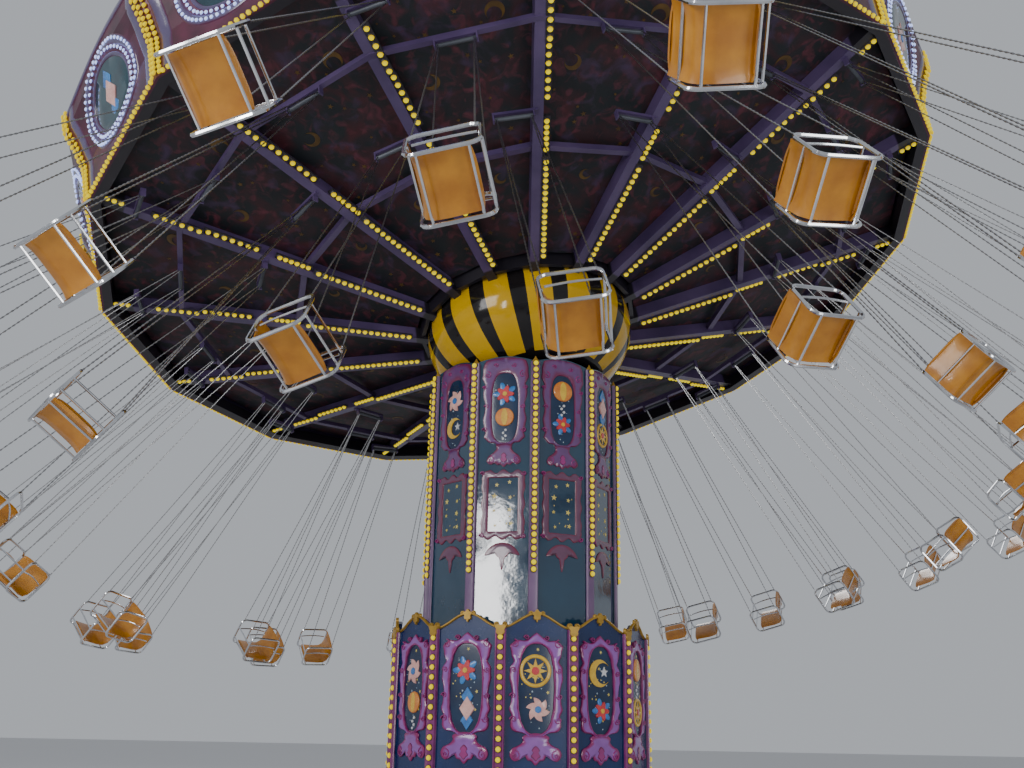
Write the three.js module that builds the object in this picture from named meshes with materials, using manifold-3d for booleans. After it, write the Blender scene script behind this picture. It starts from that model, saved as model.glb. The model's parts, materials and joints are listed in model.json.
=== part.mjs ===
// Chair swing ride: a fixed twelve-sided housing, a ten-sided column that rises and turns
// out of it, and a tilted sixteen-spoke canopy that carries three rings of flying chairs.
// Millimetres, +Z up, origin on the floor at the tower's axis, +Y away from the viewer's side.
import * as THREE from 'three';
import { mergeVertices } from 'three/addons/utils/BufferGeometryUtils.js';
import Module from 'manifold-3d';

// Driving dimensions of the housing at the foot
const HOUSING_SIDES = 12;
const HOUSING_RADIUS = 1450;
const HOUSING_TURN_DEG = -7.4;
const HOUSING_WALL = 40;
const HOUSING_VALLEY_Z = 2470;
const HOUSING_PEAK_Z = 2620;
const PLINTH_RADIUS = 1530;
const PLINTH_HEIGHT = 150;
const POST_WIDTH = 105;
const POST_FACE_RADIUS = 1471;
const POST_DEPTH = 70;
const POST_TOP_Z = 2455;

// Driving dimensions of the masts
const MAST_SIDES = 8;
const MAST_RADIUS = 300;
const MAST_BORE_RADIUS = 272;
const MAST_TOP_Z = 3000;
const MAST_COLLAR_Z = 2850;
const LIFT_MAST_RADIUS = 240;
const LIFT_MAST_WALL = 40;
const LIFT_MAST_BOTTOM_Z = 2150;
const LIFT_MAST_TOP_Z = 5000;
const FLANGE_RADIUS = 340;
const SPIGOT_RADIUS = 120;
const SLIDE_GAP = 0.5;

// Driving dimensions of the turning column
const COLUMN_SIDES = 10;
const COLUMN_RADIUS = 1125;
const COLUMN_TURN_DEG = 7.3;
const COLUMN_WALL = 35;
const COLUMN_BOTTOM_Z = 2380;
const COLUMN_TOP_Z = 5500;
const COLUMN_ARCH = 70;
const BATTEN_WIDTH = 84;
const BATTEN_FACE_RADIUS = 1141;
const BATTEN_TOP_Z = 5480;
const TURNTABLE_HEIGHT = 60;
const POST_HALF = 150;
const HEAD_POST_TOP_Z = 6390;
const EAR_THICKNESS = 50;
const EAR_HALF = 110;
const PIN_RADIUS = 50;

// Driving dimensions of the canopy, measured along its own tilted axis from the pivot
const PIVOT_Z = 6625;
const TILT_DEG = 15.94;
const TILT_TOWARDS_DEG = 34.96;
const SPOKES = 16;
const SPOKE_TURN_DEG = -40.62;
const SPOKE_WIDTH = 110;
const SPOKE_DEPTH = 160;
const SPOKE_INNER_RADIUS = 1200;
const SPOKE_OUTER_RADIUS = 5150;
const RIM_RADIUS = 5259;
const RIM_Z = 500;
const SPOKE_SLOPE = 0.2514;
const SPOKE_LINE_RADIUS = 4920;
const RIM_RING_DEPTH = 110;
const RIM_RING_HEIGHT = 160;
const STRUT_RADIUS = 2800;
const STRUT_SIZE = 70;
const BEAM_SIZE = 60;
const DRUM_RADIUS = 1360;
const DRUM_WALL = 50;
const DRUM_BOTTOM = -380;
const DRUM_TOP = 400;
const SPINDLE_RADIUS = 150;
const SLEEVE_WALL = 74;
const CEILING_THICKNESS = 18;
const BOARD_THICKNESS = 26;
const BOARD_ARCH = 210;
const BOARD_PROFILE = [[0, 0], [45, 450], [165, 750], [275, 950], [305, 1180]];
const BOWL_RADIUS = 1270;
const BOWL_CENTRE = -500;
const BOWL_HEIGHT = 900;
const BOWL_MOUTH_RADIUS = 720;
const BOWL_THICKNESS = 25;

// Driving dimensions of the chairs and the three rings that they hang on
const SEAT_WIDTH = 460;
const SEAT_DEPTH = 400;
const SEAT_THICKNESS = 26;
const FRAME_BAR = 14;
const FRAME_HALF = 230;
const FRAME_HEIGHT = 390;
const HANGER_LENGTH = 400;
const HANGER_HALF = 24;
const CHAIN_BAR = 8;
const BRACKET_THICKNESS = 16;
const BRACKET_HALF = 30;
const RINGS = [
  { name: 'outer', radius: 4750, turn: 2.5, length: 4440, fly: 47 },
  { name: 'middle', radius: 4200, turn: 11.25, length: 4300, fly: 43 },
  { name: 'inner', radius: 3300, turn: -4.5, length: 4080, fly: 38 },
];
const HANGER_DROP = 55;

const GAP = 0.3;
const MERGE_TOLERANCE = 0.02;
const DEG = Math.PI / 180;

const wasm = await Module();
wasm.setup();

// A closed three.js geometry as a solid for joining and cutting
function solid(geometry) {
  const bare = geometry.clone();
  bare.deleteAttribute('normal');
  bare.deleteAttribute('uv');
  const merged = mergeVertices(bare, 0.001);
  return new wasm.Manifold(new wasm.Mesh({
    numProp: 3,
    vertProperties: new Float32Array(merged.attributes.position.array),
    triVerts: new Uint32Array(merged.index.array),
  }));
}

// The surface of a joined body, with the flat faces of its pieces merged where they are level
function fromSolid(body) {
  const mesh = body.asOriginal().simplify(MERGE_TOLERANCE).getMesh();
  const geometry = new THREE.BufferGeometry();
  geometry.setAttribute('position', new THREE.BufferAttribute(new Float32Array(mesh.vertProperties), 3));
  geometry.setIndex(new THREE.BufferAttribute(new Uint32Array(mesh.triVerts), 1));
  return geometry;
}

function unite(geometries) {
  return geometries.map(solid).reduce((whole, next) => whole.add(next));
}

// Angle 0 faces the viewer and grows to the right, so a bearing is (sin, -cos)
function bearing(degrees) {
  return new THREE.Vector3(Math.sin(degrees * DEG), -Math.cos(degrees * DEG), 0);
}

function polygonPoints(sides, radius, turnDeg) {
  const points = [];
  for (let i = 0; i < sides; i += 1) {
    const at = bearing(turnDeg + (i * 360) / sides).multiplyScalar(radius);
    points.push(new THREE.Vector2(at.x, at.y));
  }
  return points;
}

// An upright prism with regular sides, hollow where an inner radius is given
function prism(sides, radius, turnDeg, z0, z1, innerRadius = 0, innerSides = sides) {
  const shape = new THREE.Shape(polygonPoints(sides, radius, turnDeg));
  if (innerRadius > 0) {
    shape.holes.push(new THREE.Path(polygonPoints(innerSides, innerRadius, turnDeg)));
  }
  const geometry = new THREE.ExtrudeGeometry(shape, { depth: z1 - z0, bevelEnabled: false });
  geometry.translate(0, 0, z0);
  return geometry;
}

// A box given by its size, with its length axes set by a bearing: x outwards, y sideways, z up
function boxAt(bearingDeg, outLow, outHigh, sideLow, sideHigh, z0, z1) {
  const geometry = new THREE.BoxGeometry(outHigh - outLow, sideHigh - sideLow, z1 - z0);
  geometry.translate((outLow + outHigh) / 2, (sideLow + sideHigh) / 2, (z0 + z1) / 2);
  geometry.rotateZ((bearingDeg - 90) * DEG);
  return geometry;
}

// A straight bar between two points with a regular section
function bar(from, to, radius, sides, turn = 0) {
  const along = new THREE.Vector3().subVectors(to, from);
  const geometry = new THREE.CylinderGeometry(radius, radius, along.length(), sides, 1);
  geometry.rotateY(turn);
  geometry.applyQuaternion(new THREE.Quaternion().setFromUnitVectors(
    new THREE.Vector3(0, 1, 0), along.clone().normalize()));
  const middle = new THREE.Vector3().addVectors(from, to).multiplyScalar(0.5);
  geometry.translate(middle.x, middle.y, middle.z);
  return geometry;
}

// A wall that stands on regular sides, whose top edge runs through the given heights on each side
function crestedWall(sides, radius, turnDeg, wall, z0, heights) {
  const inner = radius - wall / Math.cos(Math.PI / sides);
  const steps = heights.length - 1;
  const positions = [];
  const index = [];
  for (let i = 0; i < sides; i += 1) {
    const a = bearing(turnDeg + (i * 360) / sides);
    const b = bearing(turnDeg + ((i + 1) * 360) / sides);
    for (let s = 0; s < steps; s += 1) {
      const at = new THREE.Vector3().lerpVectors(a, b, s / steps);
      const z1 = heights[s];
      positions.push(at.x * radius, at.y * radius, z0, at.x * radius, at.y * radius, z1);
      positions.push(at.x * inner, at.y * inner, z0, at.x * inner, at.y * inner, z1);
    }
  }
  const count = sides * steps;
  for (let i = 0; i < count; i += 1) {
    const p = i * 4;
    const q = ((i + 1) % count) * 4;
    const quads = [[p, q, q + 1, p + 1], [p + 2, p + 3, q + 3, q + 2],
      [p + 1, q + 1, q + 3, p + 3], [p, p + 2, q + 2, q]];
    for (const [k, l, m, n] of quads) {
      index.push(k, l, m, k, m, n);
    }
  }
  const geometry = new THREE.BufferGeometry();
  geometry.setAttribute('position', new THREE.BufferAttribute(new Float32Array(positions), 3));
  geometry.setIndex(index);
  return geometry;
}

const ride = new THREE.Group();
ride.name = 'chair_swing_ride';
const canopy = new THREE.Group();
ride.add(canopy);

function add(parent, name, geometry, color, roughness, metalness) {
  const material = new THREE.MeshStandardMaterial({ color, roughness, metalness });
  const mesh = new THREE.Mesh(geometry, material);
  mesh.name = name;
  parent.add(mesh);
  return mesh;
}

// Foot of the tower: a twelve-sided plinth ring with four beams to the socket of the mast
function groundFrame() {
  const ring = prism(HOUSING_SIDES, PLINTH_RADIUS, HOUSING_TURN_DEG, 0, PLINTH_HEIGHT, PLINTH_RADIUS - 260);
  const beams = [0, 90].map((turn) => boxAt(turn, -PLINTH_RADIUS + 150, PLINTH_RADIUS - 150, -90, 90, 0, 120));
  const socket = prism(MAST_SIDES, MAST_RADIUS + 120, 0, 0, PLINTH_HEIGHT);
  return unite([ring, ...beams, socket]);
}

// Lower tube of the telescopic mast: it stands in the socket and guides the upper tube at its mouth
function fixedMast() {
  const fit = LIFT_MAST_RADIUS + SLIDE_GAP / Math.cos(Math.PI / MAST_SIDES);
  const tube = prism(MAST_SIDES, MAST_RADIUS, 22.5, PLINTH_HEIGHT + GAP, MAST_TOP_Z, MAST_BORE_RADIUS);
  const collar = prism(MAST_SIDES, MAST_RADIUS, 22.5, MAST_COLLAR_Z, MAST_TOP_Z, fit);
  return unite([tube, collar]);
}

function housingTops() {
  const rise = HOUSING_PEAK_Z - HOUSING_VALLEY_Z;
  const steps = 6;
  const heights = [];
  for (let s = 0; s <= steps; s += 1) {
    heights.push(HOUSING_VALLEY_Z + (rise * (1 - Math.cos((2 * Math.PI * s) / steps))) / 2);
  }
  return heights;
}

// Twelve-sided fixed cladding with a post at every corner and a foot ring
function housing() {
  const wall = crestedWall(HOUSING_SIDES, HOUSING_RADIUS, HOUSING_TURN_DEG, HOUSING_WALL,
    PLINTH_HEIGHT + GAP, housingTops());
  const pieces = [wall];
  for (let i = 0; i < HOUSING_SIDES; i += 1) {
    const turn = HOUSING_TURN_DEG + (i * 360) / HOUSING_SIDES;
    pieces.push(boxAt(turn, POST_FACE_RADIUS - POST_DEPTH, POST_FACE_RADIUS, -POST_WIDTH / 2, POST_WIDTH / 2,
      PLINTH_HEIGHT + GAP, POST_TOP_Z));
  }
  pieces.push(prism(HOUSING_SIDES, POST_FACE_RADIUS + 15, HOUSING_TURN_DEG,
    PLINTH_HEIGHT + GAP, PLINTH_HEIGHT + 110, HOUSING_RADIUS - 30));
  return unite(pieces);
}

// Level line of the tilt: the canopy rises towards the near right by a turn about this pin
const uphill = bearing(TILT_TOWARDS_DEG);
const pivotAxis = new THREE.Vector3(uphill.y, -uphill.x, 0);

// Upper tube of the mast, with the flange and the spigot that the turntable runs on
function liftMast() {
  const tube = prism(MAST_SIDES, LIFT_MAST_RADIUS, 22.5, LIFT_MAST_BOTTOM_Z, LIFT_MAST_TOP_Z - 30,
    LIFT_MAST_RADIUS - LIFT_MAST_WALL);
  const flange = prism(MAST_SIDES, FLANGE_RADIUS, 22.5, LIFT_MAST_TOP_Z - 60, LIFT_MAST_TOP_Z);
  const spigot = prism(12, SPIGOT_RADIUS, 0, LIFT_MAST_TOP_Z - 30, LIFT_MAST_TOP_Z + TURNTABLE_HEIGHT - 6);
  return unite([tube, flange, spigot]);
}

// Ten-sided turning cladding with corner battens and the spider that hangs it on the mast's collar
function columnWall() {
  const steps = 6;
  const tops = [];
  for (let s = 0; s <= steps; s += 1) {
    tops.push(COLUMN_TOP_Z + COLUMN_ARCH * Math.sin((Math.PI * s) / steps));
  }
  const wall = crestedWall(COLUMN_SIDES, COLUMN_RADIUS, COLUMN_TURN_DEG, COLUMN_WALL, COLUMN_BOTTOM_Z, tops);
  const pieces = [wall];
  for (let i = 0; i < COLUMN_SIDES; i += 1) {
    const turn = COLUMN_TURN_DEG + (i * 360) / COLUMN_SIDES;
    pieces.push(boxAt(turn, COLUMN_RADIUS - 45, BATTEN_FACE_RADIUS, -BATTEN_WIDTH / 2, BATTEN_WIDTH / 2,
      COLUMN_BOTTOM_Z, BATTEN_TOP_Z));
  }
  const low = LIFT_MAST_TOP_Z + GAP;
  pieces.push(prism(12, FLANGE_RADIUS + 40, 0, low, low + TURNTABLE_HEIGHT,
    (SPIGOT_RADIUS + SLIDE_GAP) / Math.cos(Math.PI / 12)));
  for (let i = 0; i < 5; i += 1) {
    pieces.push(boxAt(COLUMN_TURN_DEG + 18 + i * 72, FLANGE_RADIUS, COLUMN_RADIUS - 75, -45, 45,
      low + 5, low + TURNTABLE_HEIGHT - 5));
  }
  return unite(pieces);
}

// Fork post that stands on the turntable and holds the cross pin of the tilting head
function columnHead() {
  const foot = LIFT_MAST_TOP_Z + TURNTABLE_HEIGHT + 2 * GAP;
  const plate = prism(12, 290, 0, foot, foot + 40);
  const axisBearing = TILT_TOWARDS_DEG - 90;
  const post = boxAt(axisBearing, -POST_HALF, POST_HALF, -POST_HALF, POST_HALF, foot + 20, HEAD_POST_TOP_Z);
  const ears = [-1, 1].map((side) => {
    const out = [side * POST_HALF, side * (POST_HALF + EAR_THICKNESS)].sort((p, q) => p - q);
    return boxAt(axisBearing, out[0], out[1], -EAR_HALF, EAR_HALF, HEAD_POST_TOP_Z - 100, PIVOT_Z + 100);
  });
  const shoulder = POST_HALF + EAR_THICKNESS;
  ears.push(boxAt(axisBearing, -shoulder, shoulder, -EAR_HALF, EAR_HALF, HEAD_POST_TOP_Z - 240,
    HEAD_POST_TOP_Z - 20));
  const reach = pivotAxis.clone().multiplyScalar(400);
  const centre = new THREE.Vector3(0, 0, PIVOT_Z);
  const hole = bar(centre.clone().sub(reach), centre.clone().add(reach),
    (PIN_RADIUS + GAP) / Math.cos(Math.PI / 12), 12);
  return unite([plate, post, ...ears]).subtract(solid(hole));
}

// Frame of the tilted canopy: its own +Z is the canopy's axis, its +X stays level with the viewer's right
const slopeX = Math.tan(TILT_DEG * DEG) * uphill.x;
const slopeY = Math.tan(TILT_DEG * DEG) * uphill.y;
const axisZ = new THREE.Vector3(-slopeX, -slopeY, 1).normalize();
const axisX = new THREE.Vector3(1, 0, slopeX).normalize();
const axisY = new THREE.Vector3().crossVectors(axisZ, axisX);
canopy.position.set(0, 0, PIVOT_Z);
canopy.quaternion.setFromRotationMatrix(new THREE.Matrix4().makeBasis(axisX, axisY, axisZ));

// Underside of the spokes: a straight line that climbs to the rim
function spokeLine(radius) {
  return RIM_Z + (radius - SPOKE_LINE_RADIUS) * SPOKE_SLOPE;
}

// Cross pin, block and spindle: the canopy's sleeve turns on the spindle
function tiltHead() {
  const inverse = canopy.quaternion.clone().invert();
  const along = pivotAxis.clone().applyQuaternion(inverse);
  const turn = Math.atan2(along.x, -along.y) / DEG;
  const half = POST_HALF - GAP;
  const block = boxAt(turn, -half, half, -110, 110, -150, 150);
  const spindle = prism(12, SPINDLE_RADIUS, 0, 120, 680);
  const collar = prism(12, SPINDLE_RADIUS + 90, 0, 180, 250 - GAP);
  const pin = bar(along.clone().multiplyScalar(-215), along.clone().multiplyScalar(215), PIN_RADIUS, 12);
  return unite([block, spindle, collar, pin]);
}

// Striped bowl under the hub: its rim is under the spokes and its mouth dips into the column's top
function hubBowl() {
  const rings = 5;
  const top = spokeLine(BOWL_RADIUS - BOWL_THICKNESS - 12) - GAP;
  const start = -Math.asin(Math.sqrt(1 - (BOWL_MOUTH_RADIUS / BOWL_RADIUS) ** 2));
  const end = Math.asin((top - BOWL_CENTRE) / BOWL_HEIGHT);
  const outer = [];
  const inner = [];
  for (let i = 0; i <= rings; i += 1) {
    const angle = start + ((end - start) * i) / rings;
    const radius = BOWL_RADIUS * Math.cos(angle);
    const z = BOWL_CENTRE + BOWL_HEIGHT * Math.sin(angle);
    outer.push(new THREE.Vector2(radius, z));
    inner.push(new THREE.Vector2(radius - BOWL_THICKNESS, z));
  }
  const outline = [...outer, ...inner.reverse()];
  outline.push(outline[0].clone());
  const geometry = new THREE.LatheGeometry(outline, 32);
  geometry.rotateX(Math.PI / 2);
  return solid(geometry);
}

// Where a chair of a ring hangs, in the canopy's frame
function hangerPoint(ring, k) {
  const turn = SPOKE_TURN_DEG + ring.turn + (k * 360) / SPOKES;
  const at = bearing(turn).multiplyScalar(ring.radius);
  at.z = spokeLine(ring.radius) - HANGER_DROP;
  return { turn, at };
}

// Spokes, hub drum, rim ring, strut ring and the arms that the chairs hang from, welded as one frame
function canopyFrame() {
  const pieces = [];
  for (let k = 0; k < SPOKES; k += 1) {
    const turn = SPOKE_TURN_DEG + (k * 360) / SPOKES;
    const run = SPOKE_OUTER_RADIUS - SPOKE_INNER_RADIUS;
    const spoke = new THREE.BoxGeometry(run, SPOKE_WIDTH, SPOKE_DEPTH);
    spoke.translate(run / 2, 0, SPOKE_DEPTH / 2);
    const corner = spoke.attributes.position;
    for (let i = 0; i < corner.count; i += 1) {
      const radius = corner.getX(i) + SPOKE_INNER_RADIUS;
      corner.setXYZ(i, radius, corner.getY(i), corner.getZ(i) + spokeLine(radius));
    }
    spoke.rotateZ((turn - 90) * DEG);
    pieces.push(spoke);
  }
  const half = Math.PI / SPOKES;
  for (const [radius, size, lift] of [[STRUT_RADIUS, STRUT_SIZE, 45], [RINGS[1].radius, BEAM_SIZE, 8]]) {
    const z0 = spokeLine(radius) + lift;
    const outer = (radius + size / 2) / Math.cos(half);
    pieces.push(prism(SPOKES, outer, SPOKE_TURN_DEG, z0, z0 + size, outer - size / Math.cos(half)));
  }
  pieces.push(prism(SPOKES, DRUM_RADIUS, SPOKE_TURN_DEG, DRUM_BOTTOM, DRUM_TOP, DRUM_RADIUS - DRUM_WALL));
  pieces.push(prism(SPOKES, DRUM_RADIUS, SPOKE_TURN_DEG, DRUM_TOP - 50, DRUM_TOP, SPINDLE_RADIUS + 20));
  pieces.push(prism(12, SPINDLE_RADIUS + SLEEVE_WALL, 0, 250, 640, (SPINDLE_RADIUS + 1) / Math.cos(Math.PI / 12)));
  const ringOuter = RIM_RADIUS - (BOARD_THICKNESS + GAP) / Math.cos(half);
  pieces.push(prism(SPOKES, ringOuter, SPOKE_TURN_DEG, RIM_Z, RIM_Z + RIM_RING_HEIGHT,
    ringOuter - RIM_RING_DEPTH));
  for (const ring of RINGS) {
    for (let k = 0; k < SPOKES; k += 1) {
      pieces.push(bracket(ring, k));
    }
  }
  return unite(pieces);
}

// Fork that holds the ends of one chair's hanger tube, under a spoke or under the ring between spokes
function bracket(ring, k) {
  const { turn, at } = hangerPoint(ring, k);
  const inside = HANGER_LENGTH / 2 + GAP;
  const outside = inside + BRACKET_THICKNESS;
  const low = -HANGER_HALF - 8;
  const high = HANGER_HALF * Math.SQRT2 + 6;
  const top = HANGER_DROP + 18;
  const toSpoke = ring.name === 'middle' ? 0 : -ring.radius * Math.sin(ring.turn * DEG);
  const left = Math.min(-outside, toSpoke);
  const right = Math.max(outside, toSpoke);
  const outline = [[left, top]];
  if (left < -outside) {
    outline.push([left, high], [-outside, high]);
  }
  outline.push([-outside, low], [-inside, low], [-inside, high], [inside, high], [inside, low], [outside, low]);
  if (right > outside) {
    outline.push([outside, high], [right, high]);
  }
  outline.push([right, top]);
  const geometry = new THREE.ExtrudeGeometry(new THREE.Shape(outline.map(([x, z]) => new THREE.Vector2(x, z))),
    { depth: 2 * BRACKET_HALF, bevelEnabled: false });
  geometry.rotateX(Math.PI / 2);
  geometry.translate(0, BRACKET_HALF, 0);
  geometry.rotateZ(turn * DEG);
  geometry.translate(at.x, at.y, at.z);
  return geometry;
}

// A sixteen-sided shell of revolution between an inner and an outer outline
function coveredRing(outline, sides) {
  const points = outline.map(([radius, z]) => new THREE.Vector2(radius, z));
  points.push(points[0].clone());
  const geometry = new THREE.LatheGeometry(points, sides);
  geometry.rotateX(Math.PI / 2);
  geometry.rotateZ(SPOKE_TURN_DEG * DEG);
  return solid(geometry);
}

// Painted ceiling panels that lie on the spokes
function ceiling() {
  const inner = DRUM_RADIUS + 30;
  const outer = RIM_RADIUS - 150;
  const lift = SPOKE_DEPTH + GAP;
  return coveredRing([
    [inner, spokeLine(inner) + lift], [outer, spokeLine(outer) + lift],
    [outer, spokeLine(outer) + lift + CEILING_THICKNESS], [inner, spokeLine(inner) + lift + CEILING_THICKNESS],
  ], SPOKES);
}

// Upper cover: an upright band on the rim ring, a shallow cone and the turned finial at its top
function roof() {
  const half = Math.PI / SPOKES;
  const edge = RIM_RADIUS - (BOARD_THICKNESS + 1) / Math.cos(half);
  const foot = RIM_Z + RIM_RING_HEIGHT + GAP;
  return coveredRing([
    [edge - 24, foot], [edge, foot], [edge, foot + 330], [420, foot + 900], [400, foot + 1010], [210, foot + 1090],
    [250, foot + 1200], [120, foot + 1330], [60, foot + 1420], [40, foot + 1420], [40, foot + 1060],
    [350, foot + 990], [360, foot + 880], [edge - 24, foot + 308],
  ], SPOKES);
}

// Rounding boards: sixteen flared panels with arched tops, joined at the corners into one band
function roundingBoards() {
  const along = 4;
  const up = BOARD_PROFILE.length - 1;
  const inset = BOARD_THICKNESS / Math.cos(Math.PI / SPOKES);
  const topHeight = BOARD_PROFILE[up][1];
  const positions = [];
  const index = [];
  const count = SPOKES * along;
  for (let c = 0; c < count; c += 1) {
    const k = Math.floor(c / along);
    const share = (c % along) / along;
    const a = bearing(SPOKE_TURN_DEG + (k * 360) / SPOKES);
    const b = bearing(SPOKE_TURN_DEG + ((k + 1) * 360) / SPOKES);
    const at = new THREE.Vector3().lerpVectors(a, b, share);
    const arch = BOARD_ARCH * Math.sin(Math.PI * share);
    for (let j = 0; j <= up; j += 1) {
      const [out, height] = BOARD_PROFILE[j];
      const z = RIM_Z + height + arch * (height / topHeight) ** 2;
      const outer = RIM_RADIUS + out;
      positions.push(at.x * outer, at.y * outer, z);
      positions.push(at.x * (outer - inset), at.y * (outer - inset), z);
    }
  }
  const row = 2 * (up + 1);
  for (let c = 0; c < count; c += 1) {
    const p = c * row;
    const q = ((c + 1) % count) * row;
    const quads = [];
    for (let j = 0; j < up; j += 1) {
      quads.push([p + 2 * j, q + 2 * j, q + 2 * j + 2, p + 2 * j + 2]);
      quads.push([p + 2 * j + 1, p + 2 * j + 3, q + 2 * j + 3, q + 2 * j + 1]);
    }
    quads.push([p, p + 1, q + 1, q]);
    quads.push([p + 2 * up, q + 2 * up, q + 2 * up + 1, p + 2 * up + 1]);
    for (const [k, l, m, n] of quads) {
      index.push(k, l, m, k, m, n);
    }
  }
  const geometry = new THREE.BufferGeometry();
  geometry.setAttribute('position', new THREE.BufferAttribute(new Float32Array(positions), 3));
  geometry.setIndex(index);
  return solid(geometry);
}

// A bar of square section that follows a closed loop, mitred at its corners
function loopBar(points, sizes) {
  const count = points.length;
  const side = new THREE.Vector3(0, 1, 0);
  const positions = [];
  const index = [];
  for (let i = 0; i < count; i += 1) {
    const before = new THREE.Vector3().subVectors(points[i], points[(i + count - 1) % count]).normalize();
    const after = new THREE.Vector3().subVectors(points[(i + 1) % count], points[i]).normalize();
    const normal = new THREE.Vector3().addVectors(before, after).normalize();
    const across = side.clone().addScaledVector(normal, -normal.dot(side)).normalize();
    const up = new THREE.Vector3().crossVectors(normal, across).divideScalar(normal.dot(after));
    for (const [a, b] of [[-1, -1], [1, -1], [1, 1], [-1, 1]]) {
      const corner = points[i].clone().addScaledVector(across, a * sizes[i]).addScaledVector(up, b * sizes[i]);
      positions.push(corner.x, corner.y, corner.z);
    }
  }
  for (let i = 0; i < count; i += 1) {
    for (let c = 0; c < 4; c += 1) {
      const d = (c + 1) % 4;
      const p = i * 4;
      const q = ((i + 1) % count) * 4;
      index.push(p + c, p + d, q + d, p + c, q + d, q + c);
    }
  }
  const geometry = new THREE.BufferGeometry();
  geometry.setAttribute('position', new THREE.BufferAttribute(new Float32Array(positions), 3));
  geometry.setIndex(index);
  return geometry;
}

// One chair hanging straight down: x forward with the travel, y towards the tower, z up the chains.
// Each side is one loop: chain, front post, foot bar, rear post, chain, and back inside the hanger tube
function hangingChair(length) {
  const back = -SEAT_DEPTH / 2 - 25;
  const front = SEAT_DEPTH / 2 + 25;
  const low = -length - 70;
  const high = low + FRAME_HEIGHT;
  const hook = HANGER_LENGTH / 2 - 20;
  const pieces = [];
  for (const side of [-1, 1]) {
    const y = side * FRAME_HALF;
    const points = [[hook, side * 12, 0], [front, y, high], [front, y, low], [back, y, low], [back, y, high],
      [-hook, side * 12, 0]].map(([px, py, pz]) => new THREE.Vector3(px, py, pz));
    pieces.push(loopBar(points, [CHAIN_BAR, FRAME_BAR, FRAME_BAR, FRAME_BAR, FRAME_BAR, CHAIN_BAR]));
  }
  const shell = new THREE.Shape([
    [front - 40, -length], [back + 50, -length - 25], [back + 10, -length + 310], [back - 16, -length + 310],
    [back + 24, -length - 50], [front - 40, -length - SEAT_THICKNESS],
  ].map(([px, pz]) => new THREE.Vector2(px, pz)));
  const seat = new THREE.ExtrudeGeometry(shell, { depth: SEAT_WIDTH, bevelEnabled: false });
  seat.rotateX(Math.PI / 2);
  seat.translate(0, SEAT_WIDTH / 2, 0);
  pieces.push(seat);
  pieces.push(new THREE.BoxGeometry(HANGER_LENGTH, 2 * HANGER_HALF, 2 * HANGER_HALF));
  return pieces;
}

// A chair flown out to its angle about the hanger tube, which lies along the travel
function flownChair(ring, k) {
  const { turn, at } = hangerPoint(ring, k);
  const lean = ring.fly - tiltAlong(turn);
  const pieces = hangingChair(ring.length);
  for (const piece of pieces) {
    piece.rotateX(-lean * DEG);
    piece.rotateZ(turn * DEG);
    piece.translate(at.x, at.y, at.z);
  }
  return unite(pieces);
}

// How far the canopy leans outwards and up along a bearing, in degrees
function tiltAlong(turn) {
  const out = bearing(turn).applyQuaternion(canopy.quaternion);
  return Math.asin(out.z) / DEG;
}

add(ride, 'ground_frame', fromSolid(groundFrame()), 0x2b2f3a, 0.6, 0.6);
add(ride, 'fixed_mast', fromSolid(fixedMast()), 0x4a4f5a, 0.5, 0.7);
add(ride, 'housing_wall', fromSolid(housing()), 0x16345c, 0.4, 0.0);
add(ride, 'lift_mast', fromSolid(liftMast()), 0x5a5f6a, 0.45, 0.7);
add(ride, 'column_wall', fromSolid(columnWall()), 0x1b3c60, 0.2, 0.0);
add(ride, 'column_head', fromSolid(columnHead()), 0x5a5f6a, 0.45, 0.7);
add(canopy, 'tilt_head', fromSolid(tiltHead()), 0x6a6f7a, 0.4, 0.8);
add(canopy, 'hub_bowl', fromSolid(hubBowl()), 0xe2a400, 0.15, 0.0);
add(canopy, 'canopy_frame', fromSolid(canopyFrame()), 0x4c3a70, 0.45, 0.1);
add(canopy, 'ceiling', fromSolid(ceiling()), 0x161425, 0.5, 0.0);
add(canopy, 'rounding_boards', fromSolid(roundingBoards()), 0x4a1430, 0.35, 0.0);
add(canopy, 'canopy_roof', fromSolid(roof()), 0x2a2440, 0.5, 0.0);
for (const ring of RINGS) {
  for (let k = 0; k < SPOKES; k += 1) {
    const name = `chair_${ring.name}_${String(k + 1).padStart(2, '0')}`;
    add(canopy, name, fromSolid(flownChair(ring, k)), 0xe08a1e, 0.35, 0.1);
  }
}

export default ride;
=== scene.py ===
import json
import math

import bpy
import mathutils
import numpy as np
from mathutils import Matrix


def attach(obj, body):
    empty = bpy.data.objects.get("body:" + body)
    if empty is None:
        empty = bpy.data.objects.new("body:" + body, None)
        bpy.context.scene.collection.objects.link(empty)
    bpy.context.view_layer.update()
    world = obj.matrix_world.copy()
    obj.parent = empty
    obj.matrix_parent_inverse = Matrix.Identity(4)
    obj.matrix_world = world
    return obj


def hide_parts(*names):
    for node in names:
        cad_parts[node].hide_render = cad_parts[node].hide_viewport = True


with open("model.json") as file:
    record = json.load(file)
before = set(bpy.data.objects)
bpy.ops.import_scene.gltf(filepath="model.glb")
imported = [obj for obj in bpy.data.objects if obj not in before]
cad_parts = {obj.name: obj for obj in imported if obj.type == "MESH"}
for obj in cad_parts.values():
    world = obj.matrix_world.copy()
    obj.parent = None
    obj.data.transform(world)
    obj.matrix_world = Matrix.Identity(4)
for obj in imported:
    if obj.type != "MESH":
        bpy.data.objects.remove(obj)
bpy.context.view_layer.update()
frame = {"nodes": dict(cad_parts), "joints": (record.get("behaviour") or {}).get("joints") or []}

# Floor, light and camera. A pale studio floor under soft, even light, seen from the eye height of a
# viewer 12.9 m from the tower, who looks up at the canopy with the camera held a little askew.
eye = np.array([0.0, -12.9, 1.5])
look_up = 0.30529
look_left = 0.01044
lean = 0.0188
focal_pixels = 1083.86
picture_width = 1024
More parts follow.
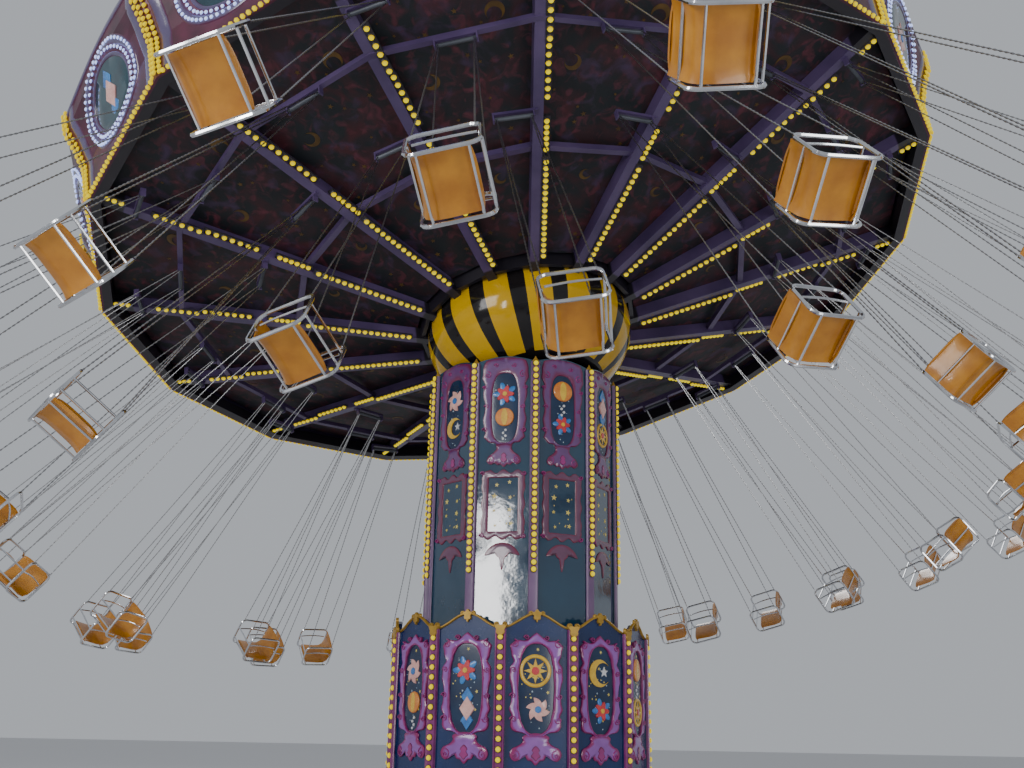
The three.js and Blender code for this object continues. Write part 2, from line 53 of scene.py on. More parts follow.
sensor_mm = 36.0
floor_half = 70.0

floor_mesh = bpy.data.meshes.new("studio_floor")
floor_mesh.from_pydata([(-floor_half, -floor_half, 0), (floor_half, -floor_half, 0),
                        (floor_half, floor_half, 0), (-floor_half, floor_half, 0)], [], [(0, 1, 2, 3)])
studio_floor = bpy.data.objects.new("studio_floor", floor_mesh)
bpy.context.scene.collection.objects.link(studio_floor)
floor_paint = bpy.data.materials.new("studio_floor")
floor_paint.use_nodes = True
floor_paint.node_tree.nodes["Principled BSDF"].inputs["Base Color"].default_value = (0.62, 0.62, 0.63, 1)
floor_paint.node_tree.nodes["Principled BSDF"].inputs["Roughness"].default_value = 0.8
floor_mesh.materials.append(floor_paint)

sky = bpy.data.worlds.new("studio")
bpy.context.scene.world = sky
sky.use_nodes = True
sky.node_tree.nodes["Background"].inputs["Color"].default_value = (0.80, 0.84, 0.90, 1)
sky.node_tree.nodes["Background"].inputs["Strength"].default_value = 0.55


def soft_light(name, place, aim, size, watts, tall=1.0):
    """A soft box of the given width, tall times as high, at a place, turned to face its aim."""
    lamp = bpy.data.lights.new(name, "AREA")
    lamp.shape = "RECTANGLE"
    lamp.size = size
    lamp.size_y = size * tall
    lamp.energy = watts
    box = bpy.data.objects.new(name, lamp)
    bpy.context.scene.collection.objects.link(box)
    box.location = place
    away = np.array(place, float) - np.array(aim, float)
    level = math.hypot(away[0], away[1])
    box.rotation_euler = (math.atan2(level, away[2]), 0, math.atan2(away[1], away[0]) + math.pi / 2)


soft_light("window_light", (-14, -16, 9), (0, 0, 5), 7, 1500)
soft_light("tall_window", (-6.8, -16, 5.3), (0, 0, 3.5), 1.15, 260, tall=3.0)
soft_light("fill_light", (9.5, -16, 3.5), (0, 0, 6), 6, 600)
soft_light("back_light", (6, 16, 13), (0, 0, 5), 8, 900)

ahead = np.array([-math.sin(look_left) * math.cos(look_up), math.cos(look_left) * math.cos(look_up),
                  math.sin(look_up)])
level_right = np.array([math.cos(look_left), math.sin(look_left), 0.0])
level_up = np.cross(level_right, ahead)
right = level_right * math.cos(lean) + level_up * math.sin(lean)
up = level_up * math.cos(lean) - level_right * math.sin(lean)
lens = bpy.data.cameras.new("photograph_view")
lens.sensor_width = sensor_mm
lens.sensor_fit = "HORIZONTAL"
lens.lens = sensor_mm * focal_pixels / picture_width
lens.clip_end = 300
camera = bpy.data.objects.new("photograph_view", lens)
bpy.context.scene.collection.objects.link(camera)
stand = np.eye(4)
stand[:3, 0] = right
stand[:3, 1] = up
stand[:3, 2] = -ahead
stand[:3, 3] = eye
camera.matrix_world = mathutils.Matrix(stand.tolist())
bpy.context.scene.camera = camera

# Foot frame, masts and head. Welded steel under dark satin paint, hidden inside the cladding: the
# frame bears on the floor, the inner mast slides up through the collar of the outer one, and the
# fork on the turntable holds the pin that the canopy tilts on.


def add(tree, kind, values=None, **settings):
    """Adds a shader node of a kind to a material's tree, with its settings and its input sockets' values."""
    node = tree.nodes.new("ShaderNode" + kind)
    for setting, choice in settings.items():
        setattr(node, setting, choice)
    for socket, value in (values or {}).items():
        node.inputs[socket].default_value = value
    return node


def wire(tree, *wires):
    """Joins sockets of nodes: each wire is (node, its output, next node, its input)."""
    for source, output, target, socket in wires:
        tree.links.new(source.outputs[output], target.inputs[socket])


def finish(name, tones, patch, rough, metal=0.0, coat=0.0, bump=0.15, grain=90.0, specular=0.5):
    """A finish whose colour wanders between two tones with a slow noise over the piece, and whose
    gloss and shallow relief follow a fine one."""
    material = bpy.data.materials.new(name)
    material.use_nodes = True
    tree = material.node_tree
    shader = tree.nodes["Principled BSDF"]
    place = add(tree, "TexCoord")
    slow = add(tree, "TexNoise", {"Scale": patch, "Detail": 5.0})
    blend = add(tree, "ValToRGB")
    for stop, position, tone in zip(blend.color_ramp.elements, (0.35, 0.68), tones):
        stop.position = position
        stop.color = (*tone, 1)
    fine = add(tree, "TexNoise", {"Scale": grain, "Detail": 3.0})
    gloss = add(tree, "MapRange", {"To Min": rough[0], "To Max": rough[1]})
    relief = add(tree, "Bump", {"Strength": bump, "Distance": 0.002})
    wire(tree, (place, "Object", slow, "Vector"), (place, "Object", fine, "Vector"),
         (slow, "Fac", blend, "Fac"), (blend, "Color", shader, "Base Color"),
         (fine, "Fac", gloss, "Value"), (gloss, "Result", shader, "Roughness"),
         (fine, "Fac", relief, "Height"), (relief, "Normal", shader, "Normal"),
         (relief, "Normal", shader, "Coat Normal"))
    for socket, value in (("Metallic", metal), ("Specular IOR Level", specular), ("Coat Weight", coat),
                          ("Coat Roughness", 0.06)):
        shader.inputs[socket].default_value = value
    return material


def dress(node, material):
    """A CAD node that is right as it stands takes a finish in place of its plain one."""
    mesh = frame["nodes"][node].data
    mesh.materials.clear()
    mesh.materials.append(material)


mast_paint = finish("dark_mast_paint", ((0.05, 0.055, 0.07), (0.10, 0.11, 0.13)), 3.0, (0.35, 0.55), 0.3)
for steelwork in ("ground_frame", "fixed_mast", "lift_mast", "column_head", "tilt_head"):
    dress(steelwork, mast_paint)

# Fixed housing. Twelve plywood panels painted deep blue under gloss varnish, screwed to the corner
# posts, with their tops cut to a low ogee. The panels stand still while the column rises out of them.
housing_sides = 12
housing_radius = 1.450
housing_turn = -7.4
housing_valley = 2.470
housing_peak = 2.620
housing_blue = finish("housing_blue_gloss", ((0.002, 0.014, 0.072), (0.005, 0.028, 0.120)), 1.6, (0.2, 0.32),
                      coat=0.25, bump=0.04, grain=12)
dress("housing_wall", housing_blue)


def bearing(degrees):
    """Unit vectors that point out from the tower: 0 faces the viewer, and the angle grows to the right."""
    turn = np.radians(degrees)
    return np.stack([np.sin(turn), -np.cos(turn), np.zeros_like(turn)], -1)


def panel_frames(sides, radius, turn):
    """For each flat side of an upright tower: the point under the panel's middle, and the panel's ways to
    the right, upwards and outwards, as four arrays of vectors."""
    out = bearing(turn + (np.arange(sides) + 0.5) * 360 / sides)
    upward = np.broadcast_to([0.0, 0.0, 1.0], out.shape)
    return out * radius * math.cos(math.pi / sides), np.cross(upward, out), upward, out


def on_panels(shape, frames):
    """Sets a shape given as right, up and out distances on each panel: origin + right + up + out."""
    origin, along, upward, out = frames
    spread = (slice(None),) + (None,) * (shape.ndim - 1)
    return (origin[spread] + shape[None, ..., 0:1] * along[spread] + shape[None, ..., 1:2] * upward[spread]
            + shape[None, ..., 2:3] * out[spread])


def stack(rings, closed=False):
    """Skins stacks of rings, (..., rings, points, 3): each ring is joined to the next by quads, and the
    two end rings are closed flat, or joined to each other where the stack is a closed loop."""
    levels, around = rings.shape[-3:-1]
    rings = rings.reshape(-1, levels, around, 3)
    row = np.arange(levels if closed else levels - 1)[:, None]
    column = np.arange(around)[None, :]
    above = (row + 1) % levels
    beside = (column + 1) % around
    quads = np.stack([row * around + column, row * around + beside, above * around + beside,
                      above * around + column], -1).reshape(-1, 4)
    first = np.arange(len(rings))[:, None, None] * levels * around
    faces = [(quads[None] + first).reshape(-1, 4)]
    if not closed:
        ends = np.stack([np.arange(around)[::-1], (levels - 1) * around + np.arange(around)])
        faces.append((ends[None] + first).reshape(-1, around))
    points = rings.reshape(-1, 3)
    middle = points.mean(0)
    volume = 0.0
    for group in faces:
        corners = points[group] - middle
        for k in range(1, group.shape[1] - 1):
            volume += np.einsum("ij,ij->i", corners[:, 0], np.cross(corners[:, k], corners[:, k + 1])).sum()
    if volume < 0:
        faces = [group[:, ::-1] for group in faces]
    return points, faces


def make_piece(name, shells, body, smooth=40.0):
    """Puts shells into one mesh that rides on a body. A shell is ((points, faces), material) and, where its
    paint needs them, two values for each point, which become the piece's UV map."""
    materials = []
    points = []
    loops = []
    totals = []
    kinds = []
    values = []
    count = 0
    for (shell_points, groups), material, *paint in shells:
        if material not in materials:
            materials.append(material)
        for group in groups:
            loops.append((group + count).reshape(-1))
            totals.append(np.full(len(group), group.shape[1]))
            kinds.append(np.full(len(group), materials.index(material)))
        values.append(paint[0].reshape(-1, 2) if paint else np.zeros((len(shell_points), 2)))
        points.append(shell_points)
        count += len(shell_points)
    loops = np.concatenate(loops).astype(np.int32)
    totals = np.concatenate(totals).astype(np.int32)
    mesh = bpy.data.meshes.new(name)
    mesh.vertices.add(count)
    mesh.vertices.foreach_set("co", np.concatenate(points).astype(np.float32).ravel())
    mesh.loops.add(len(loops))
    mesh.loops.foreach_set("vertex_index", loops)
    mesh.polygons.add(len(totals))
    mesh.polygons.foreach_set("loop_start", (np.cumsum(totals) - totals).astype(np.int32))
    mesh.polygons.foreach_set("loop_total", totals)
    mesh.polygons.foreach_set("material_index", np.concatenate(kinds).astype(np.int32))
    mesh.update(calc_edges=True)
    paint_map = mesh.uv_layers.new(name="paint")
    paint_map.data.foreach_set("uv", np.concatenate(values)[loops].astype(np.float32).ravel())
    for material in materials:
        mesh.materials.append(material)
    mesh.polygons.foreach_set("use_smooth", np.ones(len(totals), bool))
    mesh.set_sharp_from_angle(angle=math.radians(smooth))
    mesh.validate()
    piece = bpy.data.objects.new(name, mesh)
    bpy.context.scene.collection.objects.link(piece)
    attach(piece, body)
    return piece


# Corner posts of the housing. Turned softwood half-rounds in magenta gloss on both sides of a lamp
# board, pinned over the posts that carry the panels, each with a row of yellow cap lamps.
post_radius = 1.471
post_half = 0.0575
post_low = 0.262
post_middle = 1.2
post_high = 2.462
post_magenta = finish("magenta_gloss", ((0.14, 0.016, 0.11), (0.24, 0.034, 0.17)), 4.0, (0.15, 0.28),
                      coat=0.5)
board_lilac = finish("lilac_gloss", ((0.14, 0.075, 0.17), (0.21, 0.115, 0.23)), 3.0, (0.3, 0.42), coat=0.15)


def lit_cap(name, edge, tip, strength):
    """The plastic of a lit cap: its glow runs from the deep edge colour to the paler tip colour along the
    cap, by the paint map, and is uneven as ribbed plastic is."""
    unlit = (tuple(0.25 * tone for tone in edge), tuple(0.2 * tone for tone in edge))
    material = finish(name, unlit, 30.0, (0.3, 0.4), bump=0.0, specular=0.1)
    tree = material.node_tree
    shader = tree.nodes["Principled BSDF"]
    paint_map = add(tree, "UVMap", uv_map="paint")
    parts = add(tree, "SeparateXYZ")
    warm = add(tree, "Mix", {"A": (*edge, 1), "B": (*tip, 1)}, data_type="RGBA")
    ribs = add(tree, "TexNoise", {"Scale": 160.0})
    level = add(tree, "MapRange", {"To Min": 0.75 * strength, "To Max": 1.25 * strength})
    wire(tree, (paint_map, "UV", parts, "Vector"), (parts, "X", warm, "Factor"),
         (warm, "Result", shader, "Emission Color"),
         (tree.nodes["Texture Coordinate"], "Object", ribs, "Vector"), (ribs, "Fac", level, "Value"),
         (level, "Result", shader, "Emission Strength"))
    return material


lamp_yellow = lit_cap("lit_yellow_cap", (0.72, 0.47, 0.0), (1.0, 0.84, 0.0), 0.95)
lamp_socket = finish("lamp_socket", ((0.03, 0.03, 0.03), (0.06, 0.05, 0.05)), 20.0, (0.4, 0.6))
post_section = np.array([[-1, -0.02], [-1, 0.004], [-0.93, 0.015], [-0.72, 0.018], [-0.55, 0.006],
                         [0.55, 0.006], [0.72, 0.018], [0.93, 0.015], [1, 0.004], [1, -0.02]])


def corner_frames(sides, radius, turn):
    """As panel_frames, for the corners of an upright tower."""
    out = bearing(turn + np.arange(sides) * 360 / sides)
    upward = np.broadcast_to([0.0, 0.0, 1.0], out.shape)
    return out * radius, np.cross(upward, out), upward, out


def upright(section, half, heights):
    """A section of side and out distances, stood up: the same ring at each height."""
    ring = np.stack([section[:, 0] * half, np.zeros(len(section)), section[:, 1]], -1)
    rings = np.repeat(ring[None], len(heights), 0)
    rings[:, :, 1] = np.array(heights)[:, None]
    return rings


def full_turn(count):
    """Angles at even steps round a full turn, from 0."""
    return np.arange(count) * 2 * math.pi / count


def turned_rings(places, outward, radius, sizes, lifts, sides=8):
    """Small turned parts at (parts, 3) places: rings of radius x size, radius x lift out along each way."""
    outward = outward / np.linalg.norm(outward, axis=-1, keepdims=True)
    helper = np.where(np.abs(outward[:, 2:3]) > 0.9, [[1.0, 0, 0]], [[0, 0, 1.0]])
    across = np.cross(helper, outward)
    across /= np.linalg.norm(across, axis=-1, keepdims=True)
    other = np.cross(outward, across)
    angle = full_turn(sides)[None, :, None]
    circle = np.cos(angle) * across[:, None] + np.sin(angle) * other[:, None]
    return (places[:, None, None] + radius * np.array(sizes)[None, :, None, None] * circle[:, None]
            + radius * np.array(lifts)[None, :, None, None] * outward[:, None, None])


def lamps_at(places, outward, radius, material, sides=8):
    """Two shells for cap lamps at (lamps, 3) places: the caps, which narrow to their tips, and behind them
    the dark screw collars."""
    caps = turned_rings(places, outward, radius, (1.0, 0.94, 0.72, 0.3), (0.05, 0.5, 0.85, 1.0), sides)
    collars = turned_rings(places, outward, radius, (1.3, 1.15), (-0.2, 0.16))
    warmth = np.broadcast_to(np.array([0.0, 0.25, 0.75, 1.0])[None, :, None, None], (*caps.shape[:3], 2))
    return [(stack(caps), material, warmth), (stack(collars), lamp_socket)]


def lamp_rows(frames, heights, lift):
    """Places of lamps up each corner, at the heights and the lift outwards, and the ways that they face."""
    row = np.stack([np.zeros(len(heights)), heights, np.full(len(heights), lift)], -1)
    return on_panels(row, frames).reshape(-1, 3), np.repeat(frames[3], len(heights), 0)


post_frames = corner_frames(housing_sides, post_radius, housing_turn)
posts = on_panels(upright(post_section, post_half, [post_low, post_middle, post_high]), post_frames)
make_piece("housing_post_boards", [(stack(posts), post_magenta)], "base")

post_lamps = 20
post_lamp_radius = 0.029
post_lamp_pitch = 0.100
post_lamp_top = 2.371
post_lamp_lift = 0.009
post_lamp_heights = post_lamp_top - post_lamp_pitch * np.arange(post_lamps)
lamps, ways = lamp_rows(post_frames, post_lamp_heights, post_lamp_lift)
make_piece("housing_lamps", lamps_at(lamps, ways, post_lamp_radius, lamp_yellow), "base")

# Gilt crest of the housing. Cast resin mouldings in gold paint, nailed along the ogee tops: a bead, a
# shell between two small volutes at each peak, and a husk between two larger ones over each post.
gilt = finish("gilt_paint", ((0.36, 0.205, 0.025), (0.50, 0.30, 0.05)), 9.0, (0.28, 0.45), metal=0.35,
              bump=0.3)
bead_section = np.array([[-1, -0.1], [-0.8, 0.6], [-0.3, 1], [0.3, 1], [0.8, 0.6], [1, -0.1]])
scroll_points = 17
crest_relief = 0.030
bead_width = 0.027
bead_relief = 0.024
volute_relief = 0.026
husk_height = 2.455


def way_along(path, closed):
    """Unit vectors along a path at its points: from the point before towards the point after."""
    way = np.roll(path, -1, 0) - np.roll(path, 1, 0)
    if not closed:
        way[0] = path[1] - path[0]
        way[-1] = path[-1] - path[-2]
    return way / np.linalg.norm(way, axis=1, keepdims=True)


def paint_places(along_count, across_places):
    """Paint values for a strip: (place across, place along from 0 to 1) at each of its points."""
    across, along = np.meshgrid(across_places, np.linspace(0, 1, along_count))
    return np.stack([across, along], -1)


def moulding(path, width, height, closed=False):
    """The bead section carried square to a path on a panel: point + across x width / 2 to its left, and
    lift x height outwards. Gives the rings and their paint values."""
    width = np.broadcast_to(width, len(path))
    way = way_along(path, closed)
    left = np.stack([-way[:, 1], way[:, 0]], -1)
    flat = path[:, None] + left[:, None] * bead_section[None, :, 0:1] * width[:, None, None] / 2
    lift = np.broadcast_to(bead_section[:, 1:2] * height, (len(path), len(bead_section), 1))
    return np.concatenate([flat, lift], -1), paint_places(len(path), np.linspace(0, 1, len(bead_section)))


def plate(outline, height, centre=(0.0, 0.0)):
    """A cut-out plate with eased edges: its outline at the panel, the same just under its face, then 0.93
    and 0.5 of it on the face, round the outline's own zero point."""
    sunk = 0.004
    sizes = np.array([1.0, 1.0, 0.93, 0.5])
    lifts = np.array([-sunk, 0.6 * height, height, height])
    flat = outline[None] * sizes[:, None, None] + np.array(centre)
    lift = np.broadcast_to(lifts[:, None, None], (*flat.shape[:2], 1))
    return np.concatenate([flat, lift], -1)


def spiral(centre, start, inner, turns, hand, first):
    """A scroll: from the start radius to the inner one, shrinking by an even ratio, round a centre."""
    share = np.linspace(0, 1, scroll_points)
    radius = start * (inner / start) ** share
    angle = first + hand * share * turns * 2 * math.pi
    return np.array(centre) + radius[:, None] * np.stack([np.cos(angle), np.sin(angle)], -1)


def mirrored_outline(right_half, rounds=2):
    """A closed outline from the corners of its right half, given downwards: the left half is the same
    turned over, and all the corners are cut at the quarters of their sides, round after round."""
    right_half = np.array(right_half)
    points = np.concatenate([right_half, right_half[::-1] * [-1, 1]])
    for _ in range(rounds):
        following = np.roll(points, -1, 0)
        cuts = np.stack([0.75 * points + 0.25 * following, 0.25 * points + 0.75 * following], 1)
        points = cuts.reshape(-1, 2)
    return points


housing_frames = panel_frames(housing_sides, housing_radius, housing_turn)
half_side = housing_radius * math.sin(math.pi / housing_sides)
share = np.linspace(0.02, 0.98, 25)
ogee_height = housing_valley + (housing_peak - housing_valley) * (1 - np.cos(2 * math.pi * share)) / 2
ogee = np.stack([(share * 2 - 1) * half_side, ogee_height], -1)
bead = moulding(ogee, bead_width, bead_relief)[0]
shell = plate(mirrored_outline([(0.010, 0.055), (0.025, 0.026), (0.050, 0.030), (0.054, 0.002),
                                (0.032, -0.010), (0.042, -0.036), (0.026, -0.060), (0.011, -0.050),
                                (0.007, -0.080)]), crest_relief, (0.0, housing_peak - 0.012))
husk = plate(mirrored_outline([(0.012, 0.040), (0.050, 0.050), (0.066, 0.020), (0.040, -0.012),
                               (0.052, -0.036), (0.030, -0.066), (0.020, -0.058), (0.006, -0.105)]),
             crest_relief, (0.0, husk_height))
crest = [(bead, housing_frames), (shell, housing_frames)]
for side in (-1, 1):
    for beside, rise, start, frames in ((0.062, housing_peak + 0.004, 0.021, housing_frames),
                                        (0.038, husk_height + 0.045, 0.032, post_frames)):
        volute = spiral((side * beside, rise), start, 0.006, 1.6, side, -math.pi / 2)
        crest.append((moulding(volute, np.linspace(0.024, 0.012, scroll_points), volute_relief)[0], frames))
crest.append((husk, post_frames))
make_piece("housing_gilt_crest", [(stack(on_panels(shape, frames)), gilt) for shape, frames in crest],
           "base")

# Painted panels of the housing. Cut-out plywood scrollwork in lilac with magenta edges, glued round a
# dark oval field that is sown with small stars, and two bright cut-out emblems on each field.


def edged_paint(name, middle, edge):
    """Gloss paint that darkens from the middle of a moulding to its edges, by the paint map's place
    across, broken up by a noise as brushwork is."""
    material = finish(name, (tuple(0.8 * tone for tone in middle), middle), 9.0, (0.15, 0.3), coat=0.5)
    tree = material.node_tree
    paint_map = add(tree, "UVMap", uv_map="paint")
    parts = add(tree, "SeparateXYZ")
    centred = add(tree, "Math", {1: 0.5}, operation="SUBTRACT")
    away = add(tree, "Math", operation="ABSOLUTE")
    streak = add(tree, "TexNoise", {"Scale": 7.0})
    weak = add(tree, "Math", {1: 0.42}, operation="MULTIPLY")
    brush = add(tree, "Math", operation="ADD")
    band = add(tree, "MapRange", {"From Min": 0.42, "From Max": 0.60})
    mix = add(tree, "Mix", {"B": (*edge, 1)}, data_type="RGBA")
    wire(tree, (paint_map, "UV", parts, "Vector"), (parts, "X", centred, 0), (centred, "Value", away, 0),
         (tree.nodes["Texture Coordinate"], "Object", streak, "Vector"), (streak, "Fac", weak, 0),
         (away, "Value", brush, 0), (weak, "Value", brush, 1), (brush, "Value", band, "Value"),
         (band, "Result", mix, "Factor"), (tree.nodes["Color Ramp"], "Color", mix, "A"),
         (mix, "Result", tree.nodes["Principled BSDF"], "Base Color"))
    return material


scroll_paint = edged_paint("lilac_scroll_paint", (0.30, 0.105, 0.42), (0.26, 0.010, 0.12))
rose_paint = edged_paint("rose_scroll_paint", (0.34, 0.03, 0.20), (0.17, 0.008, 0.08))
field_paint = finish("night_field_paint", ((0.002, 0.014, 0.052), (0.004, 0.028, 0.080)), 5.0, (0.2, 0.3),
                     coat=0.25)
star_paint = finish("star_yellow_paint", ((0.62, 0.46, 0.08), (0.80, 0.66, 0.16)), 14.0, (0.25, 0.4),
                    coat=0.3)
pale_star_paint = finish("star_pale_paint", ((0.35, 0.46, 0.55), (0.55, 0.66, 0.70)), 14.0, (0.25, 0.4),
                         coat=0.3)
emblem_tones = {"gold": ((0.62, 0.36, 0.03), (0.80, 0.52, 0.05)),
                "orange": ((0.60, 0.17, 0.02), (0.74, 0.27, 0.04)),
                "pink": ((0.68, 0.34, 0.30), (0.82, 0.48, 0.42)),
                "red": ((0.50, 0.02, 0.03), (0.66, 0.05, 0.05)),
                "blue": ((0.02, 0.14, 0.42), (0.05, 0.24, 0.58)),
                "white": ((0.58, 0.58, 0.60), (0.72, 0.72, 0.74))}
emblem_paints = {colour: finish("emblem_" + colour, tones, 12.0, (0.2, 0.35), coat=0.5)
                 for colour, tones in emblem_tones.items()}
star_relief = 0.0025
field_relief = 0.005
above_field = [0, 0, 0.004]


def polar_outline(radius, count, squeeze=(1.0, 1.0)):
    """A closed outline: radius(angle) carried round a full turn, then stretched sideways and upwards."""
    angle = full_turn(count)
    return np.stack([radius(angle) * np.cos(angle), radius(angle) * np.sin(angle)], -1) * squeeze


def button(radius, height, centre=(0.0, 0.0), count=16):
    """A round plate."""
    return plate(polar_outline(lambda angle: np.full(len(angle), radius), count), height, centre)


def star_outline(points, size, deep=0.42, turn=math.pi / 2):
    """A star: corners that stand out to size and in to size x deep by turns."""
    sizes = np.where(np.arange(points * 2) % 2 == 0, size, size * deep)
    angle = full_turn(points * 2) + turn
    return np.stack([sizes * np.cos(angle), sizes * np.sin(angle)], -1)


def sown_stars(rng, count, half_width, half_height, centre, sizes):
    """Five-pointed stars strewn in an oval, as (stars, rings, points, 3)."""
    radius = np.sqrt(rng.uniform(0.05, 1, count))
    angle = rng.uniform(0, 2 * math.pi, count)
    places = np.stack([centre[0] + half_width * radius * np.cos(angle),
                       centre[1] + half_height * radius * np.sin(angle)], -1)
    grown = rng.uniform(*sizes, count)
    turns = rng.uniform(0, 2, count)
    return np.stack([plate(star_outline(5, size, turn=turn), star_relief, place)
                     for size, turn, place in zip(grown, turns, places)])


def oval(half_width, half_height, centre, count, power):
    """A rounded oval path: centre + half sizes x (cosine, sine), each raised to a power to square it."""
    circle = np.stack([np.cos(full_turn(count)), np.sin(full_turn(count))], -1)
    return np.array(centre) + np.sign(circle) * np.abs(circle) ** power * [half_width, half_height]


def sun_wheel():
    """Gold ring, eight rays and a red hub."""
    ring = moulding(oval(0.115, 0.115, (0, 0), 40, 1.0), 0.03, 0.012, closed=True)[0]
    return [(stack(ring, closed=True), "gold"), (stack(plate(star_outline(8, 0.10, 0.45), 0.008)), "gold"),
            (stack(button(0.032, 0.014)), "red")]


def crescent():
    """The rings of a crescent between two arcs: at the panel, at its edge and on its face."""
    angle = np.linspace(-2.3, 2.3, 22)
    outer = 0.11 * np.stack([-np.cos(angle), np.sin(angle)], -1)
    inner = 0.085 * np.stack([-np.cos(angle[::-1]), np.sin(angle[::-1])], -1) + [0.04, 0]
    ring = np.concatenate([outer, inner])
    return np.stack([np.column_stack([ring, np.full(len(ring), lift)]) for lift in (-0.004, 0.008, 0.010)])


def crescent_and_star():
    """A crescent with a small star at its mouth."""
    return [(stack(crescent()), "gold"), (stack(plate(star_outline(5, 0.045), 0.01, (0.05, 0.01))), "white")]


def balloon():
    """A round balloon with a stripe and a short string of beads."""
    middle = (0, 0.04)

    def bulge(angle):
        return 0.095 * (1 + 0.12 * np.sin(angle))

    beads = np.stack([button(0.013, 0.01, (0.012 * (-1) ** i, -0.085 - 0.03 * i), 10) for i in range(4)])
    return [(stack(plate(polar_outline(bulge, 28), 0.018, middle)), "orange"),
            (stack(plate(polar_outline(bulge, 28, (0.36, 0.97)), 0.021, middle)), "gold"),
            (stack(beads), "white")]


def lozenges():
    """Three diamonds in a column, pink between blue ones."""
    diamond = np.array([[0.06, 0], [0, 0.085], [-0.06, 0], [0, -0.085]])
    pair = np.stack([plate(diamond, 0.012, (0, y)) for y in (0.10, -0.10)])
    return [(stack(pair), "blue"), (stack(plate(diamond * 1.25, 0.018)), "pink")]


def pinwheel():
    """Six curved sails round a button."""
    sails = polar_outline(lambda angle: 0.065 + 0.05 * ((angle * 3 / math.pi) % 1.0), 48)
    return [(stack(plate(sails, 0.012)), "pink"), (stack(button(0.03, 0.02)), "blue")]


def rosette():
    """Five round petals on a ring of leaves."""
    leaves = polar_outline(lambda angle: 0.08 + 0.035 * np.cos(5 * angle + math.pi), 50)
    petals = polar_outline(lambda angle: 0.065 + 0.02 * np.cos(5 * angle), 50)
    return [(stack(plate(leaves, 0.008)), "blue"), (stack(plate(petals, 0.016)), "red"),
            (stack(button(0.022, 0.022, count=14)), "gold")]


emblems = [sun_wheel, crescent_and_star, balloon, lozenges, pinwheel, rosette]


def set_emblem(number, frames, k, centre, size, lift=0.006):
    """Sets the emblem of a number, counted round and round, grown by a size, at a centre on panel k: a
    list of shells for make_piece."""
    panel = [vectors[k:k + 1] for vectors in frames]
    shells = []
    for (points, faces), colour in emblems[number % len(emblems)]():
        grown = points * [size, size, 1.0] + [*centre, lift]
        shells.append(((on_panels(grown, panel)[0], faces), emblem_paints[colour]))
    return shells


leaf_section = np.array([[0, -0.1], [0.05, 0.7], [0.18, 1.0], [0.5, 0.70], [0.82, 1.0], [0.95, 0.7],
                         [1, -0.1]])
ring_count = 128
around = full_turn(ring_count)
from_top = np.abs((around - math.pi / 2 + math.pi) % (2 * math.pi) - math.pi)


def leafy_reach(turns, reaches, nick_depth, nicks):
    """How far a carved frame reaches, all round its field: between the given reaches at the given turns
    from the top, less nick depth x |sin(nicks x turn)|."""
    return np.interp(from_top, turns, reaches) - nick_depth * np.abs(np.sin(nicks * from_top))


def carved_band(inner, reach, height, half_width):
    """A carved frame round a field: from each point of the inner outline a leaf section runs outwards,
    square to the outline, as far as the reach there, but never past the half width of its panel."""
    way = way_along(inner, True)
    outward = np.stack([way[:, 1], -way[:, 0]], -1)
    flat = inner[:, None] + outward[:, None] * leaf_section[None, :, 0:1] * reach[:, None, None]
    flat[..., 0] = np.clip(flat[..., 0], -half_width, half_width)
    lift = np.broadcast_to(leaf_section[:, 1:2] * height, (*flat.shape[:2], 1))
    return np.concatenate([flat, lift], -1), paint_places(len(inner), leaf_section[:, 0])


def glued_strip(strip, paint, frames, closed=False):
    """A strip's copies on all the panels, as a shell for make_piece: strip is (rings, paint values)."""
    rings, values = strip
    return (stack(on_panels(rings, frames), closed), paint,
            np.broadcast_to(values, (len(frames[0]), *values.shape)))


def glued_plate(shape, paint, frames):
    """A plate's copies on all the panels, as a shell for make_piece. Its paint values are 0 at its edge,
    0.07 on its face just inside and 0.5 towards its middle."""
    values = np.broadcast_to(np.array([0.0, 0.0, 0.07, 0.5])[:, None, None], (*shape.shape[:-1], 2))
    return glued_strip((shape, values), paint, frames)


def rose_curls(rows, inner, widths, height, frames):
    """Scrolls in rose paint, one on each side of all the panels for each row of (distance from the
    middle, height, start radius, first angle): shells for make_piece."""
    return [glued_strip(moulding(spiral((side * beside, rise), start, inner, 1.5, side, first),
                                 np.linspace(*widths, scroll_points), height), rose_paint, frames)
            for side in (-1, 1) for beside, rise, start, first in rows]


field_half = (0.190, 0.449)
field_centre = (0.0, 1.866)
frame_limit = 0.298
field_edge = oval(*field_half, (0, 0), ring_count, 0.76)
frame_reach = leafy_reach(
    [0, 0.12, 0.26, 0.42, 0.56, 0.72, 0.90, 1.06, 1.25, 1.45, 1.65, 1.90, 2.10, 2.32, 2.50, 2.65, 3.15],
    [0.120, 0.095, 0.062, 0.090, 0.150, 0.165, 0.120, 0.074, 0.104, 0.098, 0.066, 0.105, 0.090, 0.135, 0.110,
     0.048, 0.034], 0.010, 13)
frame_band = carved_band(field_edge * 0.985 + field_centre, frame_reach, 0.024, frame_limit)
bracket = plate(mirrored_outline([(0.060, 0.155), (0.150, 0.120), (0.120, 0.075), (0.180, 0.030),
                                  (0.245, 0.010), (0.272, -0.060), (0.225, -0.120), (0.165, -0.105),
                                  (0.150, -0.065), (0.105, -0.060), (0.085, -0.110), (0.045, -0.105),
                                  (0.012, -0.150)], 3), 0.020, (0, 1.275))
bracket_leaf = plate(mirrored_outline([(0.012, 0.075), (0.050, 0.030), (0.022, 0.012), (0.060, -0.030),
                                       (0.030, -0.045), (0.008, -0.075)]), 0.027, (0, 1.235))
